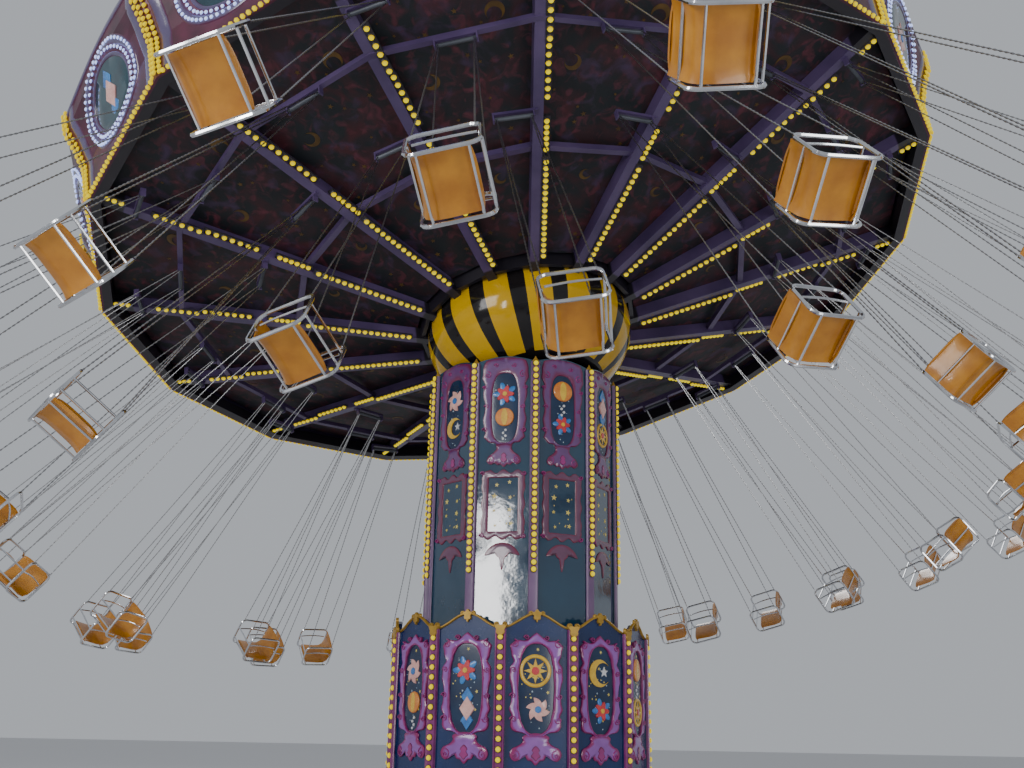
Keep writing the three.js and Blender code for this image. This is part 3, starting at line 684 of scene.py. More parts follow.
curls = [(0.208, 1.212, 0.056, math.pi / 2), (0.232, 2.305, 0.050, math.pi / 2),
         (0.105, 2.372, 0.030, math.pi), (0.238, 2.045, 0.034, math.pi),
         (0.242, 1.790, 0.034, math.pi), (0.232, 1.560, 0.040, math.pi)]
line_width = 0.020 * (0.6 + 0.6 * np.abs(np.sin(9 * around)))
inner_line = moulding(field_edge * 1.01 + field_centre, line_width, 0.027, closed=True)
skirt_centre = (0, 0.66)
skirt = moulding(oval(0.255, 0.30, skirt_centre, 60, 0.45), 0.045, 0.014, closed=True)
skirt_flower = plate(polar_outline(lambda angle: 0.10 + 0.03 * np.cos(6 * angle), 48), 0.012, skirt_centre)
panels = [(stack(on_panels(plate(field_edge, field_relief, field_centre), housing_frames)), field_paint),
          glued_strip(frame_band, scroll_paint, housing_frames, closed=True),
          glued_plate(bracket, scroll_paint, housing_frames),
          glued_plate(bracket_leaf, rose_paint, housing_frames),
          *rose_curls(curls, 0.008, (0.020, 0.010), 0.030, housing_frames),
          glued_strip(inner_line, rose_paint, housing_frames, closed=True),
          glued_strip(skirt, scroll_paint, housing_frames, closed=True),
          glued_plate(skirt_flower, scroll_paint, housing_frames)]
make_piece("housing_scrollwork", panels, "base")

star_rng = np.random.default_rng(11)
yellow_stars = sown_stars(star_rng, 18, 0.155, 0.40, field_centre, (0.008, 0.022)) + above_field
pale_stars = sown_stars(star_rng, 20, 0.16, 0.41, field_centre, (0.006, 0.014)) + above_field
emblem_shells = [(stack(on_panels(yellow_stars, housing_frames)), star_paint),
                 (stack(on_panels(pale_stars, housing_frames)), pale_star_paint)]
for k in range(housing_sides):
    emblem_shells += set_emblem(k, housing_frames, k, (-0.01, 2.04), 1.28)
    emblem_shells += set_emblem(k + 4, housing_frames, k, (0.02, 1.66), 1.16)
make_piece("housing_emblems", emblem_shells, "base")

# Turning column. Ten tall moulded panels in blue gel-coat, which mirror the light like a car body,
# with arched tops, on the turntable at the top of the lifting mast.
column_sides = 10
column_radius = 1.125
column_turn = 7.3
column_top = 5.500
column_blue = finish("column_blue_gelcoat", ((0.006, 0.032, 0.068), (0.012, 0.052, 0.098)), 1.2,
                     (0.05, 0.11), coat=1.0, bump=0.9, grain=5)
dress("column_wall", column_blue)
column_frames = panel_frames(column_sides, column_radius, column_turn)

# Corner battens of the column. Half-round timber in lilac over the panel joints, with a lamp board
# down to the part that sinks into the housing, and a small gilt point on top.
batten_radius = 1.141
batten_half = 0.053
batten_top = 5.482
batten_middle = 4.0
batten_low = 2.385
board_half = 0.028
board_middle = 4.2
board_foot = 3.085


def turned_point(radii, heights, flat=0.7, sides=10):
    """A turned point, squeezed flat against its batten: a ring at each height with the radius there."""
    radius, angle = np.meshgrid(radii, full_turn(sides), indexing="ij")
    height = np.broadcast_to(np.array(heights)[:, None], radius.shape)
    return np.stack([radius * np.cos(angle), height, radius * np.sin(angle) * flat], -1)


batten_frames = corner_frames(column_sides, batten_radius, column_turn)
batten_section = np.array([[-1, -0.02], [-1, 0.001], [-0.86, 0.010], [-0.5, 0.0125], [0.5, 0.0125],
                           [0.86, 0.010], [1, 0.001], [1, -0.02]])
batten = upright(batten_section, batten_half, [batten_low, batten_middle, batten_top])
board_section = np.array([[-1, 0.004], [-0.9, 0.018], [0.9, 0.018], [1, 0.004]])
lamp_board = upright(board_section, board_half, [board_foot, board_middle, batten_top - 0.004])
point = turned_point([0.046, 0.046, 0.030, 0.016, 0.004], [-0.03, 0.0, 0.018, 0.040, 0.062])
point = point + [0, batten_top + 0.008, -0.012]
make_piece("column_battens", [(stack(on_panels(shape, batten_frames)), paint) for shape, paint in
                              ((batten, board_lilac), (lamp_board, post_magenta), (point, gilt))],
           "column")

batten_lamps = 32
batten_lamp_radius = 0.031
batten_lamp_lift = 0.019
lamps, ways = lamp_rows(batten_frames, np.linspace(3.114, 5.459, batten_lamps), batten_lamp_lift)
make_piece("column_lamps", lamps_at(lamps, ways, batten_lamp_radius, lamp_yellow), "column")

# Painted decoration of the column. Cut-out scrollwork in dull lilac and rose glued to the panels: an
# arched frame round a dark field, a bell-shaped bracket, a box of stars and a drape low down.
arch_paint = edged_paint("arch_scroll_paint", (0.155, 0.060, 0.20), (0.16, 0.012, 0.07))
box_paint = edged_paint("box_scroll_paint", (0.150, 0.055, 0.115), (0.165, 0.022, 0.060))
tall_half = (0.152, 0.415)
tall_centre = (0.0, 4.950)
column_limit = 0.284
column_half_side = 0.3477
tall_edge = oval(*tall_half, (0, 0), ring_count, 0.66)
tall_reach = leafy_reach(
    [0, 0.20, 0.40, 0.62, 0.85, 1.05, 1.30, 1.55, 1.80, 2.10, 2.30, 2.50, 2.70, 3.15],
    [0.230, 0.230, 0.250, 0.190, 0.160, 0.105, 0.122, 0.086, 0.112, 0.090, 0.124, 0.100, 0.050, 0.036],
    0.008, 11)
tall_rings, tall_values = carved_band(tall_edge * 0.985 + tall_centre, tall_reach, 0.018, column_limit)
arch_top = column_top - 0.016 + 0.066 * np.cos(tall_rings[..., 0] / column_half_side * math.pi / 2)
tall_rings[..., 1] = np.minimum(tall_rings[..., 1], arch_top)
bell = plate(mirrored_outline([(0.050, 0.130), (0.100, 0.110), (0.080, 0.070), (0.115, 0.020),
                               (0.175, -0.015), (0.205, -0.085), (0.150, -0.125), (0.105, -0.095),
                               (0.070, -0.130), (0.040, -0.110), (0.012, -0.145)], 3), 0.016, (0, 4.405))
bell_leaf = plate(mirrored_outline([(0.010, 0.060), (0.040, 0.020), (0.018, 0.008), (0.046, -0.028),
                                    (0.008, -0.060)]), 0.022, (0, 4.365))
drape = plate(mirrored_outline([(0.020, 0.100), (0.090, 0.085), (0.160, 0.030), (0.205, -0.045),
                                (0.165, -0.035), (0.125, 0.000), (0.085, -0.005), (0.060, -0.050),
                                (0.030, -0.060), (0.020, -0.130), (0.006, -0.200)], 3), 0.012, (0, 3.310))


def even_path(corners, count):
    """Points at even steps along a closed line through the corners."""
    loop = np.concatenate([corners, corners[:1]])
    way = np.concatenate([[0], np.cumsum(np.linalg.norm(np.diff(loop, axis=0), axis=1))])
    steps = np.arange(count) * way[-1] / count
    return np.stack([np.interp(steps, way, loop[:, 0]), np.interp(steps, way, loop[:, 1])], -1)


box_half = (0.165, 0.300)
box_centre = (0.0, 3.835)
box_edge = even_path(np.array([[1, -1], [1, 1], [-1, 1], [-1, -1]]) * box_half, ring_count)
box_across, box_rise = (box_edge / box_half).T
box_ends = np.abs(box_rise) ** 12
box_reach = (0.076 + 0.010 * np.cos(3 * math.pi * box_rise) * (1 - box_ends)
             + 0.022 * np.cos(2 * math.pi * box_across) * box_ends)
star_box = carved_band(box_edge + box_centre, box_reach, 0.014, column_limit)
curls = [(0.148, 4.338, 0.046, math.pi / 2), (0.222, 4.690, 0.036, math.pi),
         (0.205, 5.340, 0.048, math.pi / 2), (0.212, 4.965, 0.030, math.pi),
         (0.105, 5.455, 0.030, math.pi), (0.238, 5.190, 0.026, math.pi),
         (0.235, 4.185, 0.030, math.pi), (0.235, 3.485, 0.030, math.pi)]
decor = [(stack(on_panels(plate(tall_edge, field_relief, tall_centre), column_frames)), field_paint),
         glued_strip((tall_rings, tall_values), arch_paint, column_frames, closed=True),
         glued_plate(bell, arch_paint, column_frames),
         glued_plate(bell_leaf, rose_paint, column_frames),
         glued_plate(drape, box_paint, column_frames),
         glued_strip(star_box, box_paint, column_frames, closed=True),
         *rose_curls(curls, 0.007, (0.019, 0.009), 0.023, column_frames)]
make_piece("column_scrollwork", decor, "column")

star_grid = np.stack(np.meshgrid([-0.085, 0.085], [-0.22, -0.075, 0.075, 0.22]), -1).reshape(-1, 2)
star_grid = star_grid + star_rng.uniform(-0.032, 0.032, star_grid.shape)
box_stars = np.stack([plate(star_outline(5, star_rng.uniform(0.020, 0.038), turn=star_rng.uniform(0, 2)),
                            star_relief, place + box_centre) for place in star_grid])
box_stars = np.concatenate([box_stars, sown_stars(star_rng, 7, 0.14, 0.26, box_centre, (0.008, 0.014))])
field_stars = sown_stars(star_rng, 12, 0.13, 0.38, tall_centre, (0.007, 0.016)) + above_field
emblem_shells = [(stack(on_panels(box_stars, column_frames)), star_paint),
                 (stack(on_panels(field_stars, column_frames)), pale_star_paint)]
for k in range(column_sides):
    emblem_shells += set_emblem(k + 2, column_frames, k, (0.0, 5.11), 1.25)
    emblem_shells += set_emblem(k + 5, column_frames, k, (0.0, 4.78), 1.12)
make_piece("column_emblems", emblem_shells, "column")

# Canopy axis. The canopy leans on the fork pin, so its own level is the tilted one: the places below
# are given by turn, radius and height along the axis that the canopy spins about.
spin = next(joint for joint in frame["joints"] if joint["name"] == "canopy_spin")
pivot = np.array(spin["pos_m"])
axis = np.array(spin["axis"])
axis = axis / np.linalg.norm(axis)
level_x = np.array([axis[2], 0.0, -axis[0]])
level_x = level_x / np.linalg.norm(level_x)
level_y = np.cross(axis, level_x)
tilted = np.stack([level_x, level_y, axis])


def canopy_at(degrees, radius, height):
    """Points on the canopy: pivot + radius out along a bearing of the tilted level + height up its axis."""
    degrees, radius, height = np.broadcast_arrays(np.asarray(degrees, float), radius, height)
    flat = bearing(degrees) * radius[..., None]
    flat[..., 2] = height
    return pivot + flat @ tilted


# Hub bowl. A spun glass-fibre bowl in black and yellow gloss, bolted up inside the hub drum under the
# spokes, whose sixteen yellow stripes are wider than the black ones, most of all towards the mouth.
bowl_radius = 1.272
bowl_centre = -0.500
bowl_height = 0.902
bowl_mouth = 0.719
bowl_top = -0.340
bowl_wall = 0.027
bowl_lip = 0.07
bowl_levels = 20
stripe_pairs = 16
yellow_columns = 6
black_columns = 4
black_turn = -5.8
yellow_at_mouth = 0.67
yellow_at_top = 0.60
bowl_yellow = finish("bowl_yellow_gloss", ((0.50, 0.285, 0.0), (0.60, 0.35, 0.001)), 1.5, (0.10, 0.18),
                     coat=0.35, bump=0.03, grain=20, specular=0.2)
bowl_black = finish("bowl_black_gloss", ((0.006, 0.005, 0.006), (0.013, 0.011, 0.011)), 1.5, (0.10, 0.2),
                    coat=0.35, bump=0.03, grain=20, specular=0.2)


def striped_bowl():
    """Two nested shells of revolution, radius R cos(t) and height H sin(t) below the spokes, joined at the
    rim and the mouth. Each stripe takes whole columns of faces, which stand closer in a black stripe; the
    lip round the mouth and the inside are black all round."""
    per_pair = yellow_columns + black_columns
    columns = stripe_pairs * per_pair
    low = -math.acos(bowl_mouth / bowl_radius)
    high = math.asin((bowl_top - bowl_centre) / bowl_height)
    share = np.concatenate([[0], np.linspace(bowl_lip, 1, bowl_levels)])
    angle = low + (high - low) * share
    outer = np.stack([bowl_radius * np.cos(angle), bowl_centre + bowl_height * np.sin(angle)], -1)
    inner = (outer - [bowl_wall, 0])[::-1]
    profile = np.concatenate([outer, inner])
    rise = np.concatenate([share, share[::-1]])[:, None]
    yellow = yellow_at_mouth + (yellow_at_top - yellow_at_mouth) * rise
    column = np.arange(columns)[None, :]
    place = column % per_pair
    across = np.where(place < yellow_columns, place / yellow_columns * yellow,
                      yellow + (place - yellow_columns) / black_columns * (1 - yellow))
    turn = black_turn + (column // per_pair + across - (1 + yellow) / 2) * 360 / stripe_pairs
    points = canopy_at(turn, profile[:, 0:1], profile[:, 1:2])
    row = np.arange(len(profile))[:, None]
    above = (row + 1) % len(profile) * columns
    beside = (column + 1) % columns
    quads = np.stack([row * columns + column, row * columns + beside, above + beside, above + column], -1)
    black = (place >= yellow_columns) | (row == 0) | (row >= len(share) - 1)
    return points.reshape(-1, 3), quads[~black], quads[black]


bowl_points, yellow_faces, black_faces = striped_bowl()
bowl = make_piece("striped_bowl", [((bowl_points, [yellow_faces]), bowl_yellow),
                                   ((np.zeros((0, 3)), [black_faces - len(bowl_points)]), bowl_black)],
                  "canopy", smooth=60.0)
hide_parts("hub_bowl")

# Spokes and rings. Sixteen folded-steel beams with purple enamel, welded to the hub drum and the rim
# ring; beside each runs a black lamp tray, left open where the chairs' brackets are bolted.
spokes = 16
spoke_turn = -40.62
spoke_slope = 0.2514
spoke_zero = 4.920
rim_height = 0.500
rim_beam_radius = 4.88
drum_edge = 1.40
spoke_purple = finish("spoke_purple_enamel", ((0.056, 0.036, 0.100), (0.100, 0.066, 0.160)), 2.0,
                      (0.3, 0.45), coat=0.2)


def blacken_ends(material):
    """Turns the enamel near black inside the hub drum's edge and beyond the inner edge of the rim beam, by
    the distance from the canopy's axis, found by turning the pattern into the canopy's level."""
    tree = material.node_tree
    to_level = mathutils.Matrix(tilted.tolist())
    shift = to_level @ mathutils.Vector(pivot)
    level = add(tree, "Mapping", {"Location": -shift, "Rotation": to_level.to_euler()})
    flat = add(tree, "VectorMath", {1: (1, 1, 0)}, operation="MULTIPLY")
    reach = add(tree, "VectorMath", operation="LENGTH")
    beyond = add(tree, "MapRange", {"From Min": rim_beam_radius - 0.01, "From Max": rim_beam_radius + 0.01})
    within = add(tree, "MapRange", {"From Min": drum_edge + 0.02, "From Max": drum_edge})
    either = add(tree, "Math", operation="MAXIMUM")
    mix = add(tree, "Mix", {"B": (0.012, 0.010, 0.016, 1)}, data_type="RGBA")
    wire(tree, (tree.nodes["Texture Coordinate"], "Object", level, "Vector"), (level, "Vector", flat, 0),
         (flat, "Vector", reach, 0), (reach, "Value", beyond, "Value"), (reach, "Value", within, "Value"),
         (beyond, "Result", either, 0), (within, "Result", either, 1), (either, "Value", mix, "Factor"),
         (tree.nodes["Color Ramp"], "Color", mix, "A"),
         (mix, "Result", tree.nodes["Principled BSDF"], "Base Color"))


blacken_ends(spoke_purple)
dress("canopy_frame", spoke_purple)
tray_black = finish("tray_black", ((0.012, 0.010, 0.014), (0.03, 0.025, 0.035)), 6.0, (0.4, 0.6))
spoke_turns = spoke_turn + np.arange(spokes) * 360 / spokes
tray_beside = 0.094
tray_half = 0.041
tray_thick = 0.018
tray_end = 0.05
spoke_lamp_radius = 0.031
lamp_groups = [(1.50, 2.72, 17, -0.015), (2.84, 3.17, 6, 0.022), (3.44, 3.98, 7, 0.025),
               (4.08, 4.55, 6, -0.012), (4.92, 5.07, 3, -0.005)]


def spoke_underside(radius):
    """Height of the spokes' lower edge at a radius: a straight climb to the rim."""
    return rim_height + (radius - spoke_zero) * spoke_slope


def beside_spokes(radius, side, lift):
    """Points by the spokes: radius out along each, side to its right and lift above its underside."""
    turn = spoke_turns[:, None, None] + np.degrees(np.arctan2(side, radius))
    return canopy_at(turn, np.hypot(radius, side), spoke_underside(radius) + lift)


tray_side = tray_beside + tray_half * np.array([-1, -1, 1, 1])
trays = []
lamp_places = []
for start, end, count, low in lamp_groups:
    ends = np.array([start - tray_end, end + tray_end])[:, None]
    tray = beside_spokes(ends, tray_side, low + tray_thick * np.array([0, 1, 1, 0]))
    trays.append((stack(tray), tray_black))
    lamp_places.append(beside_spokes(np.linspace(start, end, count), tray_beside, low).reshape(-1, 3))
make_piece("spoke_lamp_trays", trays, "canopy", smooth=30.0)
lamps = np.concatenate(lamp_places)
ways = np.broadcast_to(-axis, lamps.shape)
make_piece("spoke_lamps", lamps_at(lamps, ways, spoke_lamp_radius, lamp_yellow), "canopy")

# Ceiling. Sixteen painted boards on top of the spokes: a night sky of near black with drifts of dark
# red and plum cloud, and cut-out crescents and stars in dull gold scattered over it.


def night_sky(name):
    """Near-black paint with three layers of cloud over each other, from distorted noise."""
    material = finish(name, ((0.004, 0.005, 0.008), (0.008, 0.013, 0.017)), 1.2, (0.5, 0.7))
    tree = material.node_tree
    place = tree.nodes["Texture Coordinate"]
    under = (tree.nodes["Color Ramp"], "Color")
    for scale, warp, low, high, tint in ((2.3, 1.2, 0.46, 0.70, (0.050, 0.007, 0.012)),
                                         (6.5, 0.9, 0.52, 0.74, (0.110, 0.020, 0.034)),
                                         (3.9, 0.8, 0.54, 0.74, (0.046, 0.024, 0.062))):
        cloud = add(tree, "TexNoise", {"Scale": scale, "Detail": 6.0, "Distortion": warp})
        cover = add(tree, "MapRange", {"From Min": low, "From Max": high})
        mix = add(tree, "Mix", {"B": (*tint, 1)}, data_type="RGBA")
        wire(tree, (place, "Object", cloud, "Vector"), (cloud, "Fac", cover, "Value"),
             (cover, "Result", mix, "Factor"), (*under, mix, "A"))
        under = (mix, "Result")
    wire(tree, (*under, tree.nodes["Principled BSDF"], "Base Color"))
    return material


dress("ceiling", night_sky("night_ceiling_paint"))
spoke_depth = 0.160
bay_radius = 3.3
bay_star_count = 26
half_pitch = math.pi / spokes
mid_turns = spoke_turns + 180 / spokes
bay_out = canopy_at(mid_turns, 1.0, 0.0) - pivot
bay_slope = spoke_slope / math.cos(half_pitch)
bay_up = (bay_out + bay_slope * axis) / math.hypot(1, bay_slope)
bay_down = np.cross(np.cross(axis, bay_out), bay_up)
bay_height = spoke_underside(bay_radius) + spoke_depth
bay_middle = canopy_at(mid_turns, bay_radius * math.cos(half_pitch), bay_height)
bay_frames = (bay_middle, np.cross(bay_up, bay_down), bay_up, bay_down)

sky_gold = finish("sky_gold_paint", ((0.060, 0.030, 0.004), (0.115, 0.060, 0.008)), 8.0, (0.45, 0.6))
sky_rng = np.random.default_rng(5)
bay_stars = []
for _ in range(bay_star_count):
    reach = sky_rng.uniform(-1.7, 1.6)
    width = 0.8 * (reach + bay_radius) * math.tan(half_pitch)
    star = star_outline(5, sky_rng.uniform(0.015, 0.035), turn=sky_rng.uniform(0, 2))
    bay_stars.append(plate(star, 0.003, (sky_rng.uniform(-width, width), reach)))
bay_shells = [(stack(on_panels(np.stack(bay_stars), bay_frames)), sky_gold)]
for reach, sideways, size, turn in ((-0.85, 0.10, 0.6, 0.6), (0.45, -0.35, 0.8, 2.4),
                                    (1.05, 0.42, 0.9, 4.4)):
    about = np.array([[math.cos(turn), math.sin(turn), 0], [-math.sin(turn), math.cos(turn), 0], [0, 0, 1]])
    turned = crescent() * [size, size, 0.4] @ about + [sideways, reach, 0]
    bay_shells.append((stack(on_panels(turned, bay_frames)), sky_gold))
make_piece("ceiling_stars", bay_shells, "canopy")

# Rounding boards. Sixteen flared plywood panels hung on the rim, painted wine red to plum with a lilac
# margin, each with an oval looking-glass field in a double ring of white lamps.
board_paint = finish("board_wine_paint", ((0.040, 0.004, 0.018), (0.105, 0.010, 0.040)), 3.2, (0.35, 0.5),
                     coat=0.15)
dress("rounding_boards", board_paint)
rim_radius = 5.259
board_rise = np.array([0.0, 0.45, 0.75, 0.95, 1.18])
board_flare = np.array([0.0, 0.045, 0.165, 0.275, 0.305])
board_arch = 0.21
joint_ways = bearing(spoke_turn + np.arange(spokes + 1) * 360 / spokes)
middle_ways = bearing(spoke_turn + (np.arange(spokes) + 0.5) * 360 / spokes)


def on_board(k, across, rise, proud=0.0):
    """Points on the outer face of board k: across runs from -1 to 1 between its joints, rise from 0 to 1
    from its foot to its top, and proud is the distance in front of it."""
    across, rise = np.broadcast_arrays(across, rise)
    height = rise * board_rise[-1]
    flare = np.interp(height, board_rise, board_flare)
    lift = board_arch * np.sin(math.pi * (across + 1) / 2) * rise ** 2
    share = ((across + 1) / 2)[..., None]
    flat = (joint_ways[k] * (1 - share) + joint_ways[k + 1] * share) * (rim_radius + flare)[..., None]
    flat = flat + middle_ways[k] * np.asarray(proud)[..., None]
    flat[..., 2] = rim_height + height + lift
    return pivot + flat @ tilted


def board_moulding(k, across, rise, width, height, closed=False):
    """A bead laid on a board along (across, rise): the path is found on the flared face, and the bead
    section is carried along it, square to the path and to the face. Gives rings and paint values."""
    step = 0.02
    path = on_board(k, across, rise)
    face_up = on_board(k, across, rise + step) - on_board(k, across, rise - step)
    face_side = on_board(k, across + step, rise) - on_board(k, across - step, rise)
    normal = np.cross(face_side, face_up)
    normal = normal / np.linalg.norm(normal, axis=1, keepdims=True)
    normal = np.where((normal @ (middle_ways[k] @ tilted))[:, None] > 0, normal, -normal)
    side = np.cross(normal, way_along(path, closed))
    rings = (path[:, None] + side[:, None] * bead_section[None, :, 0:1] * width / 2
             + normal[:, None] * bead_section[None, :, 1:2] * height)
    return rings, paint_places(len(path), np.linspace(0, 1, len(bead_section)))


margin_lilac = edged_paint("board_margin_paint", (0.095, 0.072, 0.16), (0.08, 0.012, 0.05))
glass_field = finish("board_glass_field", ((0.006, 0.03, 0.045), (0.012, 0.055, 0.075)), 4.0, (0.08, 0.18),
                     coat=0.7)
lamp_white = lit_cap("lit_white_cap", (0.36, 0.46, 1.0), (0.66, 0.76, 1.0), 1.6)
medal_half = (0.60, 0.33)
medal_rise = 0.52
medal_points = 64
medal_bead = 0.014
glass_share = 0.70
margin_across = 0.83
margin_width = 0.15
margin_bead = 0.010
top_rise = 0.965
top_width = 0.09
top_bead = 0.016
board_emblem = 1.7


def on_medal(grown, angle):
    """Places across and up a board, on the outline of its oval grown by a factor."""
    return medal_half[0] * grown * np.cos(angle), medal_rise + medal_half[1] * grown * np.sin(angle)


medal_angle = full_turn(medal_points)
glass_sizes = glass_share * np.array([1.0, 0.97, 0.6, 0.25])[:, None]
glass_lifts = np.array([0.0, 0.008, 0.010, 0.010])[:, None]
board_shells = []
field_shells = []
emblem_shells = []
for k in range(spokes):
    for across, rise, width, height in (
            (-margin_across, np.linspace(0.06, 0.97, 15), margin_width, margin_bead),
            (margin_across, np.linspace(0.06, 0.97, 15), margin_width, margin_bead),
            (np.linspace(-0.93, 0.93, 25), top_rise, top_width, top_bead)):
        rings, values = board_moulding(k, across, rise, width, height)
        board_shells.append((stack(rings), margin_lilac, values))
    for grown, width in ((1.0, 0.11), (0.74, 0.05)):
        rings, values = board_moulding(k, *on_medal(grown, medal_angle), width, medal_bead, closed=True)
        board_shells.append((stack(rings, closed=True), margin_lilac, values))
    glass = on_board(k, *on_medal(glass_sizes, medal_angle[None]), glass_lifts)
    field_shells.append((stack(glass), glass_field))
    centre = on_board(k, 0.0, medal_rise)
    above = on_board(k, 0.0, medal_rise + 0.02) - centre
    above = above / np.linalg.norm(above)
    beside = np.cross(axis, middle_ways[k] @ tilted)
    medal_frame = [vector[None] for vector in (centre, beside, above, np.cross(beside, above))]
    emblem_shells += set_emblem(k, medal_frame, 0, (0.0, 0.0), board_emblem, 0.008)
make_piece("board_mouldings", board_shells, "canopy")
make_piece("board_fields", field_shells + emblem_shells, "canopy")

# Lamps of the rounding boards. Lit plastic caps on the boards' faces: two rings of white ones round
# each oval, and yellow ones along the lower edges and in three rows up each joint.
lamp_proud = 0.012
joint_proud = 0.018
white_radius = 0.021
yellow_radius = 0.028
row_across = 0.94
row_rise = np.linspace(0.02, 0.99, 20)
edge_across = np.linspace(-0.90, 0.90, 26)
edge_rise = 0.018
white_rows = []
yellow_rows = []
for k in range(spokes):
    out = middle_ways[k] @ tilted
    for grown, count in ((1.02, 52), (0.86, 44)):
        angle = full_turn(count) + math.pi / count
        white_rows.append((on_board(k, *on_medal(grown, angle), lamp_proud), out))
    for across, board in ((row_across, k), (-row_across, (k + 1) % spokes)):
        yellow_rows.append((on_board(board, across, row_rise, lamp_proud), middle_ways[board] @ tilted))
    yellow_rows.append((on_board(k, edge_across, edge_rise, lamp_proud), out - axis))
for k in range(spokes):
    yellow_rows.append((on_board(k, -1.0, row_rise + 0.012, joint_proud), joint_ways[k] @ tilted))
for name, rows, radius, plastic in (("board_white_lamps", white_rows, white_radius, lamp_white),
                                    ("board_yellow_lamps", yellow_rows, yellow_radius, lamp_yellow)):
    lamps = np.concatenate([places for places, way in rows])
    ways = np.concatenate([np.broadcast_to(way, places.shape) for places, way in rows])
    make_piece(name, lamps_at(lamps, ways, radius, plastic, 6)[:1], "canopy")

# Roof. Sixteen sheet panels on the rim ring, folded up to a low cone with a turned finial, in plain
# dark plum paint, which the rounding boards hide from the ground.
roof_plum = finish("roof_plum_paint", ((0.055, 0.035, 0.10), (0.085, 0.055, 0.14)), 2.0, (0.4, 0.6))
dress("canopy_roof", roof_plum)

# Flying chairs. Each is a moulded orange seat in a bent chrome frame, on four chains that meet at a
# hanger tube in the bracket under the canopy, so that it swings outwards as one piece.
seat_half = 0.212
chain_link = 0.055
link_wide = 0.0085
link_thin = 0.0035
frame_tube = 0.0145
frame_half = 0.230
frame_end = 0.238
frame_drop = 0.078
frame_height = 0.404
frame_corner = 0.075
arm_tube = 0.009
bar_tube = 0.010
hanger_hook = 0.180
hanger_radius = 0.023
hanger_half = 0.198
seat_orange = finish("seat_orange_moulding", ((0.42, 0.155, 0.008), (0.56, 0.235, 0.016)), 6.0, (0.24, 0.38),
                     coat=0.3)
frame_chrome = finish("frame_chrome", ((0.62, 0.63, 0.65), (0.75, 0.76, 0.78)), 8.0, (0.08, 0.2), metal=1.0,
                      bump=0.03)
chain_steel = finish("chain_steel", ((0.34, 0.34, 0.35), (0.50, 0.50, 0.50)), 40.0, (0.25, 0.4), metal=1.0)


def tube(path, radius, sides=6, closed=False, reference=(0.0, 1.0, 0.0)):
    """A round tube along a path: at each point a ring of the radius, square to the path, that starts from
    the reference way."""
    way = way_along(path, closed)
    side = np.cross(way, reference)
    side = side / np.linalg.norm(side, axis=1, keepdims=True)
    other = np.cross(way, side)
    angle = full_turn(sides)[None, :, None]
    return path[:, None] + radius * (np.cos(angle) * side[:, None] + np.sin(angle) * other[:, None])


def straight_bar(start, end, count, radius, **shape):
    """A straight tube between two points, with a ring at each of its count of even steps."""
    return tube(np.linspace(start, end, count), radius, **shape)


def chain(start, end):
    """A chain of oval links seen as a strand whose section is wide one way and then the other, turn about,
    at every half link."""
    start = np.array(start)
    end = np.array(end)
    length = np.linalg.norm(end - start)
    count = int(round(length / chain_link)) * 2
    path = np.linspace(start, end, count + 1)
    way = (end - start) / length
    side = np.cross(way, [0.0, 1.0, 0.0])
    side = side / np.linalg.norm(side)
    other = np.cross(way, side)
    wide = np.where(np.arange(count + 1) % 2 == 0, link_wide, link_thin)[:, None]
    thin = link_wide + link_thin - wide
    return np.stack([path + wide * side, path + thin * other, path - wide * side, path - thin * other], 1)


def rounded_loop(back, front, low, high, corner, side, count=6):
    """A closed loop in an upright plane, at a sideways distance: a rectangle with round corners."""
    centres = [(front - corner, high - corner, 0.0), (back + corner, high - corner, 0.5),
               (back + corner, low + corner, 1.0), (front - corner, low + corner, 1.5)]
    angle = np.concatenate([np.linspace(first, first + 0.5, count) * math.pi for x, z, first in centres])
    x = np.repeat([middle[0] for middle in centres], count) + corner * np.cos(angle)
    z = np.repeat([middle[1] for middle in centres], count) + corner * np.sin(angle)
    return np.stack([x, np.full(len(x), side), z], -1)


def bucket_seat(length):
    """The moulded seat: a dished section carried from the front lip over the pan and up the back."""
    path = np.array([[0.170, -0.045], [0.180, -0.018], [0.165, 0.000], [0.08, -0.008], [-0.06, -0.018],
                     [-0.145, -0.010], [-0.185, 0.030], [-0.205, 0.12], [-0.215, 0.22], [-0.222, 0.295],
                     [-0.232, 0.312], [-0.243, 0.300]]) - [0, length]
    way = np.gradient(path, axis=0)
    way = way / np.linalg.norm(way, axis=1, keepdims=True)
    face = np.stack([-way[:, 1], way[:, 0]], -1)
    across = np.linspace(-1, 1, 11)
    dish = 0.020 * across ** 4
    half_thick = 0.006
    upper = np.stack([across * seat_half, dish + half_thick], -1)
    lower = np.stack([across[::-1] * seat_half, dish[::-1] - half_thick], -1)
    section = np.concatenate([upper, lower])
    flat = path[:, None] + face[:, None] * section[None, :, 1:2]
    sideways = np.broadcast_to(section[:, 0:1], (*flat.shape[:2], 1))
    return np.concatenate([flat[..., :1], sideways, flat[..., 1:]], -1)


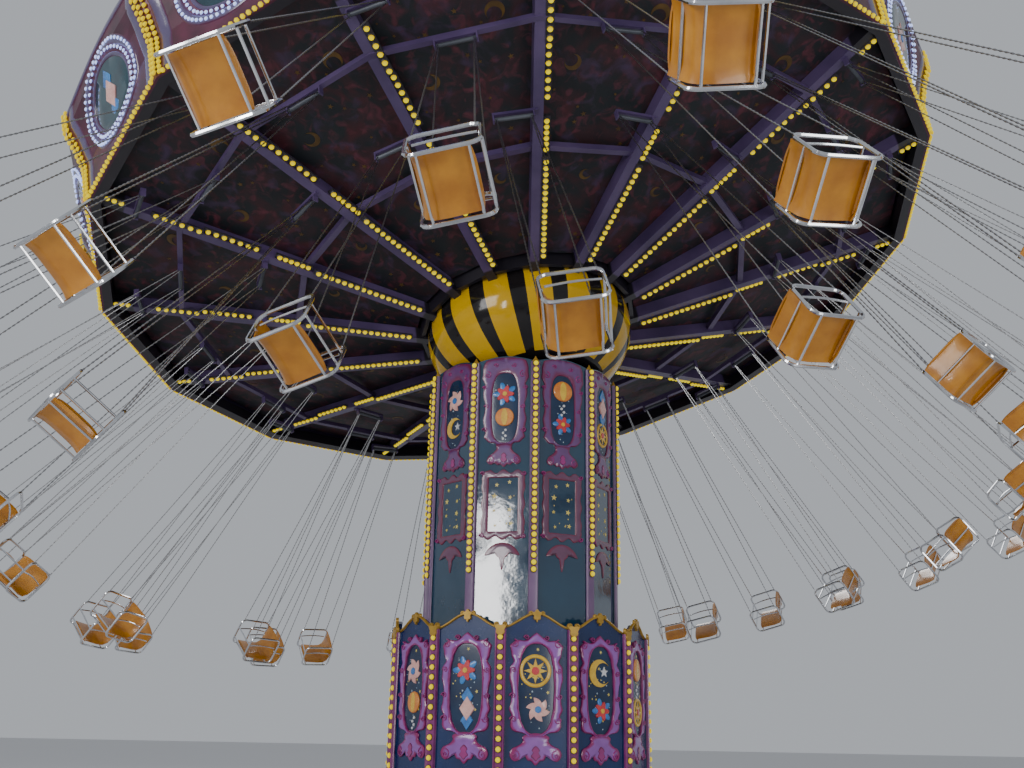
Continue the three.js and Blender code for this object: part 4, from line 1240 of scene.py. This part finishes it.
def hanging_chair(length):
    """The shells of one chair as it hangs: x forwards, y towards the tower, z up to the hanger tube."""
    low = -length - frame_drop
    high = low + frame_height
    bent = []
    chains = []
    for side in (-1, 1):
        y = side * frame_half
        loop = rounded_loop(-frame_end, frame_end, low, high, frame_corner, y)
        bent.append(stack(tube(loop, frame_tube, closed=True), closed=True))
        arm = np.stack([np.linspace(-0.20, 0.215, 6), np.full(6, y - side * 0.012),
                        -length + 0.175 + 0.02 * np.sin(np.linspace(0, math.pi, 6))], -1)
        bent.append(stack(tube(arm, arm_tube)))
        for end in (-1, 1):
            top = (end * hanger_hook, side * 0.012, -0.012)
            foot = (end * 0.205, y, high - 0.012)
            chains.append(stack(chain(top, foot)))
    for x, z in ((0.16, low + 0.004), (-0.16, low + 0.004), (-0.226, -length + 0.13),
                 (frame_end - 0.004, -length + 0.19), (frame_end, low + 0.10)):
        bent.append(stack(straight_bar((x, -frame_half, z), (x, frame_half, z), 5, bar_tube,
                                       reference=(0.0, 0.0, 1.0))))
    hanger = straight_bar((-hanger_half, 0, 0), (hanger_half, 0, 0), 7, hanger_radius, sides=10)
    return [(stack(bucket_seat(length)), seat_orange), (stack(hanger), mast_paint),
            *[(shell, frame_chrome) for shell in bent], *[(shell, chain_steel) for shell in chains]]


for ring_name, ring_length in (("outer", 4.44), ("middle", 4.30), ("inner", 4.08)):
    shells = hanging_chair(ring_length)
    for k in range(spokes):
        hinge_name = f"swing_{ring_name}_{k + 1:02d}"
        hinge = next(joint for joint in frame["joints"] if joint["name"] == hinge_name)
        forward = -np.array(hinge["axis"])
        swung_out = math.radians(-hinge["range_deg"][0])
        inward = np.cross(axis, forward)
        up_chain = axis * math.cos(swung_out) + inward * math.sin(swung_out)
        across = inward * math.cos(swung_out) - axis * math.sin(swung_out)
        turned = np.stack([forward, across, up_chain])
        placed = [((points @ turned + np.array(hinge["pos_m"]), faces), material)
                  for (points, faces), material in shells]
        node = f"chair_{ring_name}_{k + 1:02d}"
        chair = make_piece(f"flying_{node}", placed, node)
        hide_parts(node)
